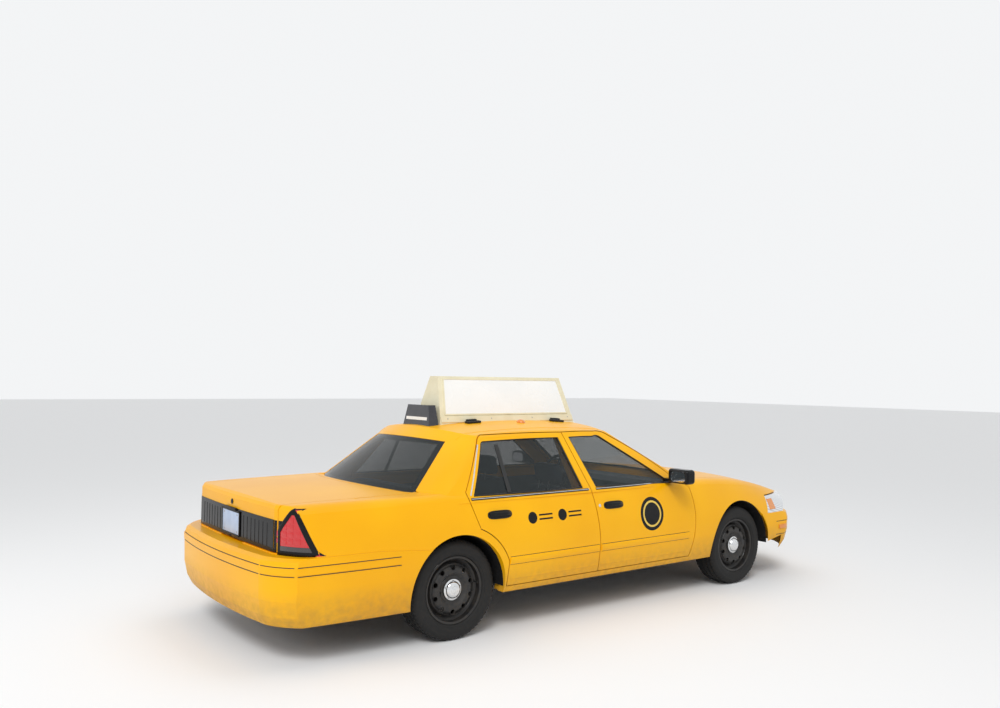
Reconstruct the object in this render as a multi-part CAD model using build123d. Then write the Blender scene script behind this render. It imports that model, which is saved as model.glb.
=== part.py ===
from build123d import *
import math
import os

# Long-wheelbase four-door sedan on a separate frame, in taxi trim. Millimetres.
# +X forward, +Y left, +Z up. The origin is on the ground under the middle of the outline.

# driving dimensions
wheelbase = 3066.0
front_overhang = 1085.0
rear_overhang = 1386.0
body_half = 983.0        # widest point of the body side
belly_z = 600.0          # height of the widest point
sill_z = 290.0           # lower edge of the body side
belt_z = 970.0           # where the windows start
roof_z = 1475.0          # top of the roof at the centre line
side_lean = 0.6          # how far the side windows lean in for each mm of height
roof_lean_z = 1440.0     # height of the greenhouse's upper outline

tyre_radius = 345.0
tyre_width = 235.0
rim_radius = 225.0
front_half_track = 805.0
rear_half_track = 795.0
kingpin_y = 760.0
front_arch_radius = 404.0
rear_arch_radius = 390.0

shut_gap = 6.0           # gap round doors, hood and trunk lid
seat_gap = 0.3           # between curved faces that seat on each other
door_wall = 70.0         # doors below the belt
door_frame = 40.0        # doors round their windows
skin = 20.0              # hood, trunk lid, roof and fenders
glass = 5.0
bumper_wall = 14.0
door_slant = 0.4         # door edges run forward as they go in, so that the rear edge swings clear

# places that follow from them
length = front_overhang + wheelbase + rear_overhang
nose_x = length / 2
tail_x = -length / 2
front_axle_x = nose_x - front_overhang
rear_axle_x = front_axle_x - wheelbase
b_cut_x = rear_axle_x + 1290          # cut between front and rear door, at mid height
front_hinge_x = front_axle_x - 610
rear_hinge_x = b_cut_x - 12
hinge_y = body_half + 9
body_rear_x = tail_x + 137            # tail of the body above the bumper
body_front_x = nose_x - 128
bumper_top_rear = 690.0
bumper_top_front = 604.0
bumper_low = 262.0


def side_y(z):
    # half-width of the body side and windows at mid length
    if z >= belt_z:
        return body_half - 71 - side_lean * (z - belt_z)
    radius = 1144 if z < belly_z else 965
    return body_half - (z - belly_z) ** 2 / (2 * radius)


# body envelope
# Cross-sections of the lower body, each of lines and arcs. Columns: x, then how far the widest
# point, the sill, the shoulder and the deck edge lie inside body_half, the heights of the
# shoulder, the deck edge and the deck's centre above belt_z.
body_sections = [
    (tail_x - 40, 85, 128, 150, 240, -42, 8, 28),
    (rear_axle_x - 720, 26, 70, 108, 196, -14, 34, 54),
    (rear_axle_x, 3, 46, 78, 150, -6, 40, 66),
    (b_cut_x - 100, 0, 42, 66, 140, -18, 22, 40),
    (front_axle_x - 680, 1, 42, 70, 150, -44, -2, 34),
    (front_axle_x, 9, 52, 104, 200, -84, -36, 2),
    (front_axle_x + 620, 46, 92, 178, 270, -190, -150, -102),
    (nose_x + 40, 102, 150, 258, 345, -310, -270, -206),
]


def body_section(row, inset, drop):
    x, belly, sill, shoulder, edge, shoulder_z, edge_z, deck_z = row

    def at(y, z):
        return Vector(x, y, z)

    # the inner bodies run on below the sill, because the shell is open underneath
    low = (body_half - sill - inset - drop * 0.13, sill_z - drop)
    wide = (body_half - belly - inset, belly_z)
    shoulder_at = (body_half - shoulder - 0.92 * inset, belt_z + shoulder_z - 0.4 * inset)
    edge_at = (body_half - edge - 0.5 * inset, belt_z + edge_z - 0.87 * inset)
    round_at = ((shoulder_at[0] + edge_at[0]) / 2 + 7, (shoulder_at[1] + edge_at[1]) / 2 + 10)
    top = belt_z + deck_z - inset
    edges = [Line(at(-low[0], low[1]), at(low[0], low[1]))]
    edges += [ThreePointArc(at(*low), at(*wide), at(*shoulder_at))]
    edges += [ThreePointArc(at(*shoulder_at), at(*round_at), at(*edge_at))]
    edges += [ThreePointArc(at(*edge_at), at(0, top), at(-edge_at[0], edge_at[1]))]
    edges += [ThreePointArc(at(-edge_at[0], edge_at[1]), at(-round_at[0], round_at[1]), at(-shoulder_at[0], shoulder_at[1]))]
    edges += [ThreePointArc(at(-shoulder_at[0], shoulder_at[1]), at(-wide[0], wide[1]), at(-low[0], low[1]))]
    return Face(Wire([e.edge() for e in edges]))


def lower_body(inset, drop=0.0):
    return loft([body_section(row, inset, drop) for row in body_sections])


# Outlines of the greenhouse seen from above, as (half-width, x) points: the ends of the
# windshield's arc, its middle, the side's middle, the ends and the middle of the rear window's arc.
cabin_outlines = [
    # z, front corner y, x, front mid x, side y, rear corner y, x, rear mid x, front and rear radius
    (belt_z - 30, body_half - 78, front_axle_x - 648, front_axle_x - 395, body_half - 53,
     body_half - 70, rear_axle_x - 185, rear_axle_x - 492, 24, 230),
    (roof_lean_z, body_half - 383, front_axle_x - 1468, front_axle_x - 1350, body_half - 352,
     body_half - 375, rear_axle_x + 390, rear_axle_x + 180, 24, 150),
]


def cabin_outline(row, inset):
    z, front_y, front_x, front_mid, side, rear_y, rear_x, rear_mid, front_r, rear_r = row
    side_x = (front_x + rear_x) / 2
    fa, fb, fm = (front_x, -front_y, z), (front_x, front_y, z), (front_mid, 0, z)
    ra, rb, rm = (rear_x, -rear_y, z), (rear_x, rear_y, z), (rear_mid, 0, z)
    edges = [
        ThreePointArc(fa, fm, fb),
        ThreePointArc(fb, (side_x, side, z), rb),
        ThreePointArc(rb, rm, ra),
        ThreePointArc(ra, (side_x, -side, z), fa),
    ]
    face = Face(Wire([e.edge() for e in edges]))
    if inset:
        face = offset(face, -inset, kind=Kind.INTERSECTION).face()
    face = fillet(face.vertices().group_by(Axis.X)[-1], max(front_r - inset, 10))
    return fillet(face.vertices().group_by(Axis.X)[0], max(rear_r - inset, 10)).face()


roof_radius_y = 3200.0   # crown of the roof across the car
roof_radius_x = 9000.0   # crown of the roof along the car
roof_peak_x = rear_axle_x + 1000
roof_edge_radius = 90.0


def roof_dome(inset):
    # section across the car, revolved about a far axis so that the roof is crowned both ways
    flat = inset / math.cos(math.atan(side_lean))
    top = roof_z - inset
    edge_y, edge_z = body_half - 350, top
    for _ in range(8):
        edge_z = top - roof_radius_y + math.sqrt(roof_radius_y ** 2 - edge_y ** 2)
        edge_y = side_y(edge_z) - flat
    foot_z = belt_z - 400
    foot_y = edge_y + (side_lean + 0.05) * (edge_z - foot_z)
    x = roof_peak_x
    edges = [
        ThreePointArc((x, -edge_y, edge_z), (x, 0, top), (x, edge_y, edge_z)),
        Line((x, edge_y, edge_z), (x, foot_y, foot_z)),
        Line((x, foot_y, foot_z), (x, -foot_y, foot_z)),
        Line((x, -foot_y, foot_z), (x, -edge_y, edge_z)),
    ]
    face = Face(Wire([e.edge() for e in edges]))
    face = fillet(face.vertices().group_by(Axis.Z)[-1], max(roof_edge_radius - inset, 12)).face()
    axis = Axis((x, 0, roof_z - roof_radius_x), (0, 1, 0))
    half_turn = 14
    return revolve(face.rotate(axis, -half_turn), axis, 2 * half_turn)


def cabin(inset):
    # the two outlines are carried on to above the roof, then the dome closes them
    flat = inset / math.cos(math.atan(side_lean))
    low, high = cabin_outlines
    above = [a + 1.2 * (b - a) for a, b in zip(low, high)]
    upper = (loft([cabin_outline(low, flat), cabin_outline(above, flat)]) & roof_dome(inset)).solid()
    if inset > skin:
        # reaches down into the doors' inner space
        upper += extrude(cabin_outline(low, flat), 90, dir=(0, 0, -1))
    return upper.solid()


# outline of the car seen from above
# Front and rear faces are flat arcs, joined by round corners to lines that clear the sides.
# Columns of an end: x of its middle, how far its ends lie back, half-width of the arc, run of the
# corner along the car, and how far along and across the corner's own middle lies.
clear_y = body_half + 22
body_front = (body_front_x, 70, body_half - 293, 430, 0.22, 0.46)
body_rear = (body_rear_x, 20, body_half - 323, 360, 0.20, 0.45)
bumper_front = (nose_x, 112, body_half - 303, 480, 0.22, 0.48)
bumper_rear = (tail_x, 46, body_half - 283, 330, 0.22, 0.50)


def plan_face(front, rear, z, front_inset, rear_inset):
    def end(row, way, inset):
        x, bow, arc_y, run, along, over = row
        x, arc_y, side = x - way * inset, arc_y - 0.4 * inset, clear_y - min(0.8 * inset, 60)
        arc_x = x - way * bow
        middle = (arc_x - way * run * along, arc_y + (side - arc_y) * over)
        return (x, arc_x, arc_y, middle, arc_x - way * run, side)

    fx, fax, fay, fm, fsx, fsy = end(front, 1, front_inset)
    rx, rax, ray, rm, rsx, rsy = end(rear, -1, rear_inset)
    edges = [
        ThreePointArc((fax, -fay), (fx, 0), (fax, fay)),
        ThreePointArc((fax, fay), fm, (fsx, fsy)),
        Line((fsx, fsy), (rsx, rsy)),
        ThreePointArc((rsx, rsy), rm, (rax, ray)),
        ThreePointArc((rax, ray), (rx, 0), (rax, -ray)),
        ThreePointArc((rax, -ray), (rm[0], -rm[1]), (rsx, -rsy)),
        Line((rsx, -rsy), (fsx, -fsy)),
        ThreePointArc((fsx, -fsy), (fm[0], -fm[1]), (fax, -fay)),
    ]
    return Face(Wire([e.edge() for e in edges])).moved(Location((0, 0, z)))


def plan_stack(front, rear, levels, inset=0.0):
    # levels are (z, front inset, rear inset), joined by straight bands
    return loft([plan_face(front, rear, z, a + inset, b + inset) for z, a, b in levels], ruled=True)


nose_lip_z = bumper_top_front + 150      # lower edge of the hood's front
body_levels = [
    (sill_z - 80, 0, 0), (nose_lip_z - 10, 0, 0), (nose_lip_z + 22, 12, 0), (nose_lip_z + 48, 44, 0),
    (nose_lip_z + 76, 105, 0), (belt_z, 300, 0), (belt_z + 22, 320, 12), (belt_z + 44, 340, 46), (roof_z + 50, 500, 160),
]
bumper_front_levels = [(bumper_low, 64, 64), (330, 26, 26), (430, 4, 4), (540, 0, 0), (588, 12, 12), (bumper_top_front, 34, 34)]
bumper_rear_levels = [(bumper_low, 58, 58), (330, 24, 24), (430, 4, 4), (628, 0, 0), (672, 12, 12), (bumper_top_rear, 38, 38)]


def body_plan(inset):
    return plan_stack(body_front, body_rear, body_levels, inset)


# helpers
def prism_side(points, low_y=420.0, high_y=body_half + 60, slant=0.0):
    # points are (x, z) on the right-hand surface, lines between them; a third entry bows the line
    # that starts there by that much. The prism runs inwards across the car.
    def place(x, z):
        return (x - slant * (high_y - side_y(z)), -high_y, z)

    edges = []
    for a, b in zip(points, points[1:] + points[:1]):
        pa, pb = place(a[0], a[1]), place(b[0], b[1])
        if len(a) > 2:
            run = math.hypot(b[0] - a[0], b[1] - a[1])
            mid = ((a[0] + b[0]) / 2 + a[2] * (b[1] - a[1]) / run, (a[1] + b[1]) / 2 - a[2] * (b[0] - a[0]) / run)
            edges.append(ThreePointArc(pa, place(*mid), pb).edge())
        else:
            edges.append(Line(pa, pb).edge())
    face = Face(Wire(edges))
    reach = Vector(slant, 1, 0)
    return extrude(face, (high_y - low_y) * reach.length, dir=reach)


def prism_top(points, low, high):
    # like prism_side, with (x, y) points seen from above
    edges = []
    for a, b in zip(points, points[1:] + points[:1]):
        if len(a) > 2:
            run = math.hypot(b[0] - a[0], b[1] - a[1])
            mid = ((a[0] + b[0]) / 2 + a[2] * (b[1] - a[1]) / run, (a[1] + b[1]) / 2 - a[2] * (b[0] - a[0]) / run)
            edges.append(ThreePointArc((a[0], a[1], low), (mid[0], mid[1], low), (b[0], b[1], low)).edge())
        else:
            edges.append(Line((a[0], a[1], low), (b[0], b[1], low)).edge())
    return extrude(Face(Wire(edges)), high - low, dir=(0, 0, 1))


def block(x0, x1, y0, y1, z0, z1):
    return Pos((x0 + x1) / 2, (y0 + y1) / 2, (z0 + z1) / 2) * Box(x1 - x0, y1 - y0, z1 - z0)


def rod(a, b, radius):
    a, b = Vector(*a), Vector(*b)
    return Plane(origin=a, z_dir=b - a) * Cylinder(radius, (b - a).length, align=(Align.CENTER, Align.CENTER, Align.MIN))


def across(x, z, radius, y0, y1):
    return rod((x, y0, z), (x, y1, z), radius)


def left(shape):
    return mirror(shape, about=Plane.XZ)


def solids(*shapes):
    found = []
    for shape in shapes:
        found += shape if isinstance(shape, (list, ShapeList)) else shape.solids()
    return found


def largest(shape):
    return shape.solids().sort_by(SortBy.VOLUME)[-1]


def put(name, *shapes):
    export_step(Compound(solids(*shapes)), f"parts/{name}.step")


os.makedirs("parts", exist_ok=True)

# envelopes
below = 70.0             # the inner bodies run on below the sill, because the shell is open underneath
outer_low, outer_cabin = lower_body(0), cabin(0)
outer = outer_low + outer_cabin
skin_low, skin_cabin = lower_body(skin, below), cabin(skin)
door_low, door_cabin = lower_body(door_wall, below), cabin(door_frame)

# door cuts, as (x, z) on the body side
door_low_z = sill_z + 45
frame_top_z = roof_z - 84
a_cut_low = (front_hinge_x - 92, door_low_z)
a_cut_belt = (front_hinge_x - 58, belt_z - 60)
a_pillar_foot = (front_axle_x - 800, belt_z + 12)
a_pillar_head = (front_axle_x - 1382, frame_top_z - 40)
b_cut = [(b_cut_x - 118, frame_top_z), (b_cut_x - 30, belt_z), (b_cut_x + 20, belly_z - 50), (b_cut_x + 16, door_low_z)]
c_low_x = rear_axle_x + 412


def front_door_outline(grow):
    g = grow
    return [
        (a_cut_low[0] + g, a_cut_low[1] - g, 44),
        (a_cut_belt[0] + g, a_cut_belt[1], 0.5),
        (a_pillar_foot[0] + g, a_pillar_foot[1] + g * 0.5, 20),
        (a_pillar_head[0] + g, a_pillar_head[1] + g, 14),
        (a_pillar_head[0] - 150, frame_top_z - 2 + g, 3),
        (b_cut[0][0] + 3 - g, b_cut[0][1] + g),
        (b_cut[1][0] + 3 - g, b_cut[1][1], -4),
        (b_cut[2][0] + 3 - g, b_cut[2][1]),
        (b_cut[3][0] + 3 - g, b_cut[3][1] - g),
    ]


def rear_door_outline(grow):
    g = grow
    arch = rear_arch_radius + 60 - g
    turn = math.radians(22)
    top = math.radians(68)
    return [
        (b_cut[0][0] - 3 + g, b_cut[0][1] + g, 5),
        (rear_axle_x + 400, frame_top_z - 4 + g, 12),
        (rear_axle_x + 335 - g, frame_top_z - 40 + g, -6),
        (rear_axle_x + 92 - g, belt_z + 40, 6),
        (rear_axle_x + arch * math.cos(top), tyre_radius + arch * math.sin(top), arch * (math.cos((top - turn) / 2) - 1)),
        (rear_axle_x + arch * math.cos(turn), tyre_radius + arch * math.sin(turn)),
        (c_low_x - g, door_low_z - g),
        (b_cut[3][0] - 3 + g, b_cut[3][1] - g),
        (b_cut[2][0] - 3 + g, b_cut[2][1], 4),
        (b_cut[1][0] - 3 + g, b_cut[1][1]),
    ]


window_low_z = belt_z + 4
window_top_z = frame_top_z - 34


def front_window(grow):
    g = grow
    return [
        (b_cut[1][0] + 62 - g, window_low_z - g, 4),
        (a_pillar_foot[0] - 92 + g, window_low_z - 14 - g),
        (a_pillar_foot[0] - 108 + g, window_low_z + 22),
        (a_pillar_head[0] - 78 + g * 0.6, window_top_z - 18 + g, 14),
        (a_pillar_head[0] - 180, window_top_z + g, 2),
        (b_cut[0][0] + 58 - g, window_top_z + g),
    ]


def rear_window_outline(grow):
    g = grow
    return [
        (rear_axle_x + 147 - g, window_low_z + 4 - g, 4),
        (b_cut[1][0] - 72 + g, window_low_z - g),
        (b_cut[0][0] - 52 + g, window_top_z + g, 5),
        (rear_axle_x + 395, window_top_z - 10 + g, 10),
        (rear_axle_x + 352 - g, window_top_z - 40 + g, -5),
    ]


front_cut = prism_side(front_door_outline(0), slant=door_slant)
front_cut_wide = prism_side(front_door_outline(shut_gap), slant=door_slant)
rear_cut = prism_side(rear_door_outline(0), slant=door_slant)
rear_cut_wide = prism_side(rear_door_outline(shut_gap), slant=door_slant)
front_opening = prism_side(front_window(0))
rear_opening = prism_side(rear_window_outline(0))
glass_out, glass_in = cabin(12), cabin(12 + glass)


def door_band(grow):
    # how deep the doors reach, from below the sill to the roof
    top_y, low_y = 387 - body_half + grow, 161 - body_half + grow
    corners = [(-body_half - 80, sill_z - 40), (-body_half - 80, roof_z + 40), (top_y, roof_z + 40), (top_y, frame_top_z - 25),
               (low_y, belt_z), (low_y, sill_z - 40)]
    edges = [Line((tail_x, *a), (tail_x, *b)).edge() for a, b in zip(corners, corners[1:] + corners[:1])]
    return extrude(Face(Wire(edges)), length, dir=(1, 0, 0))


band, band_wide = door_band(0), door_band(shut_gap)
front_cut_wide, rear_cut_wide = front_cut_wide & band_wide, rear_cut_wide & band_wide

for name, cut, opening in (("front", front_cut, front_opening), ("rear", rear_cut, rear_opening)):
    door = (cut & band & outer) - [door_low, door_cabin, opening]
    pane = (opening & glass_out) - glass_in
    put(f"{name}_door_right", door)
    put(f"{name}_door_left", left(door))
    put(f"{name}_door_glass_right", pane)
    put(f"{name}_door_glass_left", left(pane))

# cuts of the fixed panels
hood_side = [(front_axle_x - 640, body_half - 168), (front_axle_x, body_half - 213), (front_axle_x + 640, body_half - 268)]
lid_front_x = rear_axle_x - 282
lid_corner = (lid_front_x, body_half - 250)
lid_tail = (body_rear_x - 60, body_half - 294)
lid_low_z = bumper_top_rear + 12


def hood_cut(grow, low=bumper_top_front + 150, high=roof_z):
    g = grow
    (x0, y0), (x1, y1), (x2, y2) = hood_side
    return prism_top([
        (x0 - g, -y0 - g, 2), (x1, -y1 - g, 4), (x2, -y2 - g), (x2 + 300, -y2 + 20 - g), (x2 + 300, y2 - 20 + g),
        (x2, y2 + g, 4), (x1, y1 + g, 2), (x0 - g, y0 + g, -215),
    ], low, high)


def lid_cut(grow, low=lid_low_z, high=roof_z):
    g = grow
    return prism_top([
        (lid_corner[0] + g, -lid_corner[1] - g, -140), (lid_corner[0] + g, lid_corner[1] + g, 3),
        (lid_tail[0], lid_tail[1] + g), (lid_tail[0] - 200, lid_tail[1] - 10 + g),
        (lid_tail[0] - 200, -lid_tail[1] + 10 - g), (lid_tail[0], -lid_tail[1] - g, 3),
    ], low - g, high)


windshield_cut = prism_top([
    (front_axle_x - 735, -(body_half - 190)), (front_axle_x - 1390, -(body_half - 425), 100),
    (front_axle_x - 1390, body_half - 425), (front_axle_x - 735, body_half - 190, -240),
], belt_z + 12, roof_z + 40)
rear_glass_cut = prism_top([
    (rear_axle_x - 262, -(body_half - 262), -125), (rear_axle_x - 262, body_half - 262),
    (rear_axle_x + 170, body_half - 484, 95), (rear_axle_x + 170, -(body_half - 484)),
], belt_z + 40, roof_z + 40)
roof_front_x = front_axle_x - 1390
roof_rear_x = rear_axle_x + 170
roof_half = body_half - 430


def roof_cut(grow):
    g = grow
    return prism_top([
        (roof_front_x + 160 + g, -roof_half - g), (roof_front_x + 160 + g, roof_half + g),
        (roof_rear_x - 160 - g, roof_half + g), (roof_rear_x - 160 - g, -roof_half - g),
    ], roof_z - 150, roof_z + 40)


def arch(x, radius, y0, y1):
    return across(x, tyre_radius, radius, y0, y1)


arch_inner_y = 560.0
arches = [arch(x, r, side * (body_half + 60), side * arch_inner_y)
          for x, r in ((front_axle_x, front_arch_radius), (rear_axle_x, rear_arch_radius)) for side in (-1, 1)]
right_half = block(tail_x - 50, nose_x + 50, -body_half - 60, 0, 0, roof_z + 60)
body_low = outer_low & body_plan(0)
skin_inside = skin_low & body_plan(skin)
wall_inside = door_low & body_plan(door_wall)
body = body_low + outer_cabin

# middle panels
hood = (body_low & hood_cut(0, nose_lip_z)) - skin_inside
trunk_lid = (body_low & lid_cut(0)) - skin_inside
garnish_low_z, garnish_high_z, garnish_half = lid_low_z + 26, belt_z - 66, body_half - 322
garnish_depth = 12.0
garnish_box = block(tail_x, body_rear_x + 60, -garnish_half, garnish_half, garnish_low_z, garnish_high_z)
garnish_back = body_plan(garnish_depth)
garnish = (body_plan(-4) & garnish_box) - garnish_back
trunk_lid -= garnish_box - garnish_back
roof_panel = (outer_cabin & roof_cut(0)) - [skin_cabin, windshield_cut, rear_glass_cut]
cowl_half = body_half - 190
cowl_skin = largest((body & block(front_axle_x - 760, front_axle_x - 300, -cowl_half, cowl_half, belt_z - 80, roof_z))
               - [skin_inside, skin_cabin, hood_cut(shut_gap), windshield_cut])
firewall_x = front_axle_x - 520
firewall_top_z = belt_z - 75
cowl = cowl_skin + ((block(firewall_x - 5, firewall_x, -540, 540, firewall_top_z + seat_gap, roof_z) & outer_low) - windshield_cut)
deck_half = lid_corner[1]
deck = largest((body & block(rear_axle_x - 460, rear_axle_x - 215, -deck_half, deck_half, belt_z - 20, roof_z))
               - [skin_inside, skin_cabin, lid_cut(shut_gap), rear_glass_cut])
glass_outer, glass_inner = cabin(3), cabin(3 + glass)
pane_shell = glass_outer - glass_inner
windshield = pane_shell & windshield_cut
rear_glass = pane_shell & rear_glass_cut

put("hood", hood)
put("trunk_lid", trunk_lid)
put("rear_garnish", garnish)
put("roof_panel", roof_panel)
put("cowl_panel", cowl)
put("rear_deck_panel", deck)
put("windshield", windshield)
put("rear_window", rear_glass)

# front fenders
fender_line_x = a_cut_belt[0] + shut_gap + 1     # rear edge of the fender above the door's corner
fender_skin = skin - seat_gap
fender_zone = block(fender_line_x, nose_x, -body_half - 60, -300, bumper_top_front + seat_gap, roof_z)
fender_zone += block(fender_line_x - 40, front_axle_x, -body_half - 60, -300, sill_z - 10, bumper_top_front + 4)
headlamp_rear = [(front_axle_x + 412, bumper_top_front), (front_axle_x + 452, nose_lip_z + 8),
                 (nose_x + 60, nose_lip_z + 8), (nose_x + 60, bumper_top_front)]
headlamp_cut = prism_side(headlamp_rear, low_y=470.0)
front_end_cut = block(front_axle_x + 500, nose_x, -body_half + 40, 0, 0, nose_lip_z + 8)
fender = (body_low & fender_zone) - [lower_body(fender_skin, below), hood_cut(shut_gap, 0), front_cut_wide, arches[0],
                                     headlamp_cut, front_end_cut, outer_cabin,
                                     block(fender_line_x - 20, front_axle_x - 350, -cowl_half - seat_gap, 0, sill_z, roof_z)]
fender = largest(fender)
put("front_fenders", fender, left(fender))

# lamps
lamp_points = [(body_half - 328, bumper_top_rear + 6), (body_half - 318, bumper_top_rear + 93),
               (body_half - 183, belt_z + 14), (body_half - 164, belt_z + 10), (body_half - 50, bumper_top_rear + 6)]


def prism_back(points, x0, x1):
    edges = [Line((x0, -a[0], a[1]), (x0, -b[0], b[1])).edge() for a, b in zip(points, points[1:] + points[:1])]
    return extrude(Face(Wire(edges)), x1 - x0, dir=(1, 0, 0))


tail_lamp_cut = prism_back(lamp_points, tail_x, body_rear_x + 250)
tail_lamp = largest((body_low & tail_lamp_cut) - [wall_inside, lid_cut(shut_gap)])
put("tail_lamps", tail_lamp, left(tail_lamp))
headlamp = largest((body_low & (headlamp_cut & block(tail_x, nose_x, -body_half, 0, bumper_top_front + seat_gap, nose_lip_z - 1)))
                   - [wall_inside, hood_cut(shut_gap, nose_lip_z - shut_gap)])
put("headlamps", headlamp, left(headlamp))

# grille
grille_half = 470.0 - seat_gap
grille_low, grille_high = bumper_top_front + 6, nose_lip_z - shut_gap
bar = 5.0


def nose_band(outer_inset, inner_inset, y0, y1, z0, z1):
    levels = [(sill_z, 0, 0), (roof_z, 0, 0)]
    zone = block(nose_x - 500, nose_x, y0, y1, z0, z1)
    return (plan_stack(body_front, body_rear, levels, outer_inset) & zone) - plan_stack(body_front, body_rear, levels, inner_inset)


surround = nose_band(-2, 40, -grille_half, grille_half, grille_low, grille_high)
mesh_zone = (-grille_half + 14, grille_half - 14, grille_low + 12, grille_high - 12)
surround -= block(nose_x - 500, nose_x, *mesh_zone)
lattice = nose_band(10, 34, *mesh_zone)
rows, columns = 7, 26
cell_y = (mesh_zone[1] - mesh_zone[0]) / columns
cell_z = (mesh_zone[3] - mesh_zone[2]) / rows
holes = [
    Pos(nose_x - 250, mesh_zone[0] + (i + 0.5) * cell_y, mesh_zone[2] + (j + 0.5) * cell_z) * Box(500, cell_y - bar, cell_z - bar)
    for i in range(columns) for j in range(rows)
]
grille = surround + (lattice - holes)
put("grille", grille)

# bumpers
bumper_proud = 4.0


def bumper(levels, zone, cuts):
    # the cover is hollow and open underneath and towards the body
    hollow = [(z - bumper_wall * (z > belly_z - 80) - 30 * (z < bumper_low + 1), a, b) for z, a, b in levels]
    solid = (lower_body(-bumper_proud, below) & zone) & plan_stack(bumper_front, bumper_rear, levels)
    space = (lower_body(bumper_wall - bumper_proud, 2 * below) & zone) & plan_stack(bumper_front, bumper_rear, hollow, bumper_wall)
    return largest(solid - [space] - cuts)


def shelf_opening(way):
    # the covers keep a narrow shelf under the body and are open inside it
    if way > 0:
        side_line = [(front_axle_x + 120, 860), (nose_x - 420, 800), (nose_x - 190, 520)]
    else:
        side_line = [(rear_axle_x - 100, 870), (tail_x + 420, 810), (body_rear_x + 66, 600)]
    return prism_top([(x, -y) for x, y in side_line] + [(x, y) for x, y in reversed(side_line)], belly_z - 100, bumper_top_rear + 20)


def bumper_line(gap):
    # under the quarter panel the cover's upper edge falls towards the wheel
    end_x = rear_axle_x - 150
    return prism_side([(tail_x - 20, 0), (end_x, 0), (end_x, bumper_top_rear - 38 + gap), (rear_axle_x - 620, bumper_top_rear - 2 + gap),
                       (tail_x - 20, bumper_top_rear + gap)], low_y=-body_half - 60)


front_zone = block(front_axle_x + 200, nose_x + 10, -body_half - 60, body_half + 60, bumper_low, bumper_top_front)
rear_zone = bumper_line(0)
put("front_bumper", bumper(bumper_front_levels, front_zone, arches[:2] + [shelf_opening(1)]))
put("rear_bumper", bumper(bumper_rear_levels, rear_zone, arches[2:] + [shelf_opening(-1)]))

# side frame: sill, pillars, roof rail and quarter panel in one
def side_prism(x0, x1, rows):
    # rows are (z, depth from, depth to) below the body side at mid length; runs along the car
    outline = [(side_y(z) - a, z) for z, a, b in rows] + [(side_y(z) - b, z) for z, a, b in reversed(rows)]
    return prism_back(outline, x0, x1)


post_in, post_deep = door_wall + shut_gap, door_wall + shut_gap + 45
frame_in, frame_deep = door_frame + shut_gap + 6, door_frame + shut_gap + 45
post_front_x = front_hinge_x + 20
sill_top = door_low_z - shut_gap
b_post = side_prism(b_cut_x - 125, b_cut_x - 5, [
    (sill_z, 30, post_deep), (sill_top - 2, 30, post_deep), (sill_top, post_in, post_deep), (belly_z, post_in, post_deep),
    (belt_z - 30, post_in, post_deep), (belt_z + 20, frame_in + 16, frame_deep + 20), (frame_top_z - 30, 88, 124), (frame_top_z + 6, 67, 102)])
# the rear door's front edge swings in past the post
b_post -= Pos(rear_hinge_x, -hinge_y, (sill_top + belt_z) / 2) * Cylinder(107, belt_z - sill_top - 60)
sill_front_x = fender_line_x - 46
sill = side_prism(rear_axle_x + 400, sill_front_x, [(sill_z, 1, post_deep), (sill_top, 1, post_deep)])
sill += side_prism(sill_front_x - 1, front_axle_x - 430, [(sill_z, skin + 6, post_deep), (sill_top, skin + 6, post_deep)])
a_post = side_prism(post_front_x, post_front_x + 80, [(sill_z, 30, post_deep), (sill_top, 30, post_deep), (belly_z, post_in, post_deep), (belt_z - 66, post_in, post_deep - 9)])
foot_in, foot_out = -(cowl_half + 3), -(cowl_half + 23)
a_foot = block(fender_line_x - 37, post_front_x + 80, foot_out, foot_in, belt_z - 120, belt_z - 66)
a_foot += block(fender_line_x - 37, fender_line_x - 1, foot_out, foot_in, belt_z - 120, belt_z - 6)
a_foot += block(post_front_x, post_front_x + 80, foot_out - 30, foot_in, belt_z - 120, belt_z - 66)
upper_zone = block(rear_axle_x - 330, fender_line_x - 1, -body_half - 60, -200, sill_z - 10, roof_z + 60)
quarter_zone = block(tail_x, rear_axle_x - 329, -body_half - 60, -200, belly_z, roof_z + 60)
rear_middle = block(rear_axle_x - 700, rear_axle_x - 200, -deck_half, deck_half, 0, belt_z + 70)
front_middle = block(front_axle_x - 760, nose_x, -cowl_half, cowl_half, belt_z - 100, belt_z + 60)
bumper_room = bumper_line(seat_gap)
door_cuts = [front_cut_wide, rear_cut_wide]
middle_cuts = [windshield_cut, rear_glass_cut, roof_cut(0), lid_cut(shut_gap), hood_cut(shut_gap, 0), rear_middle, front_middle]
side = (body & (upper_zone + quarter_zone)) - ([wall_inside, door_cabin] + door_cuts + middle_cuts + [arches[0], arches[2], tail_lamp_cut, bumper_room])
side -= block(fender_line_x - 40 - seat_gap, fender_line_x + 20, -body_half - 60, -700, sill_z - 20, bumper_top_front + 4 + seat_gap)
side = largest(side)
side = side + sill + [b_post, (a_post + a_foot)]
side = largest(side)
put("side_frames", side, left(side))

# wheels
tyre_centre = {"front": front_half_track, "rear": rear_half_track}
axle_x = {"front": front_axle_x, "rear": rear_axle_x}
wheel_fit = 0.3
hub_radius, hub_bore, spindle_radius = 68.0, 24.3, 24.0
rim_flange = rim_radius + 8


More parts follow.
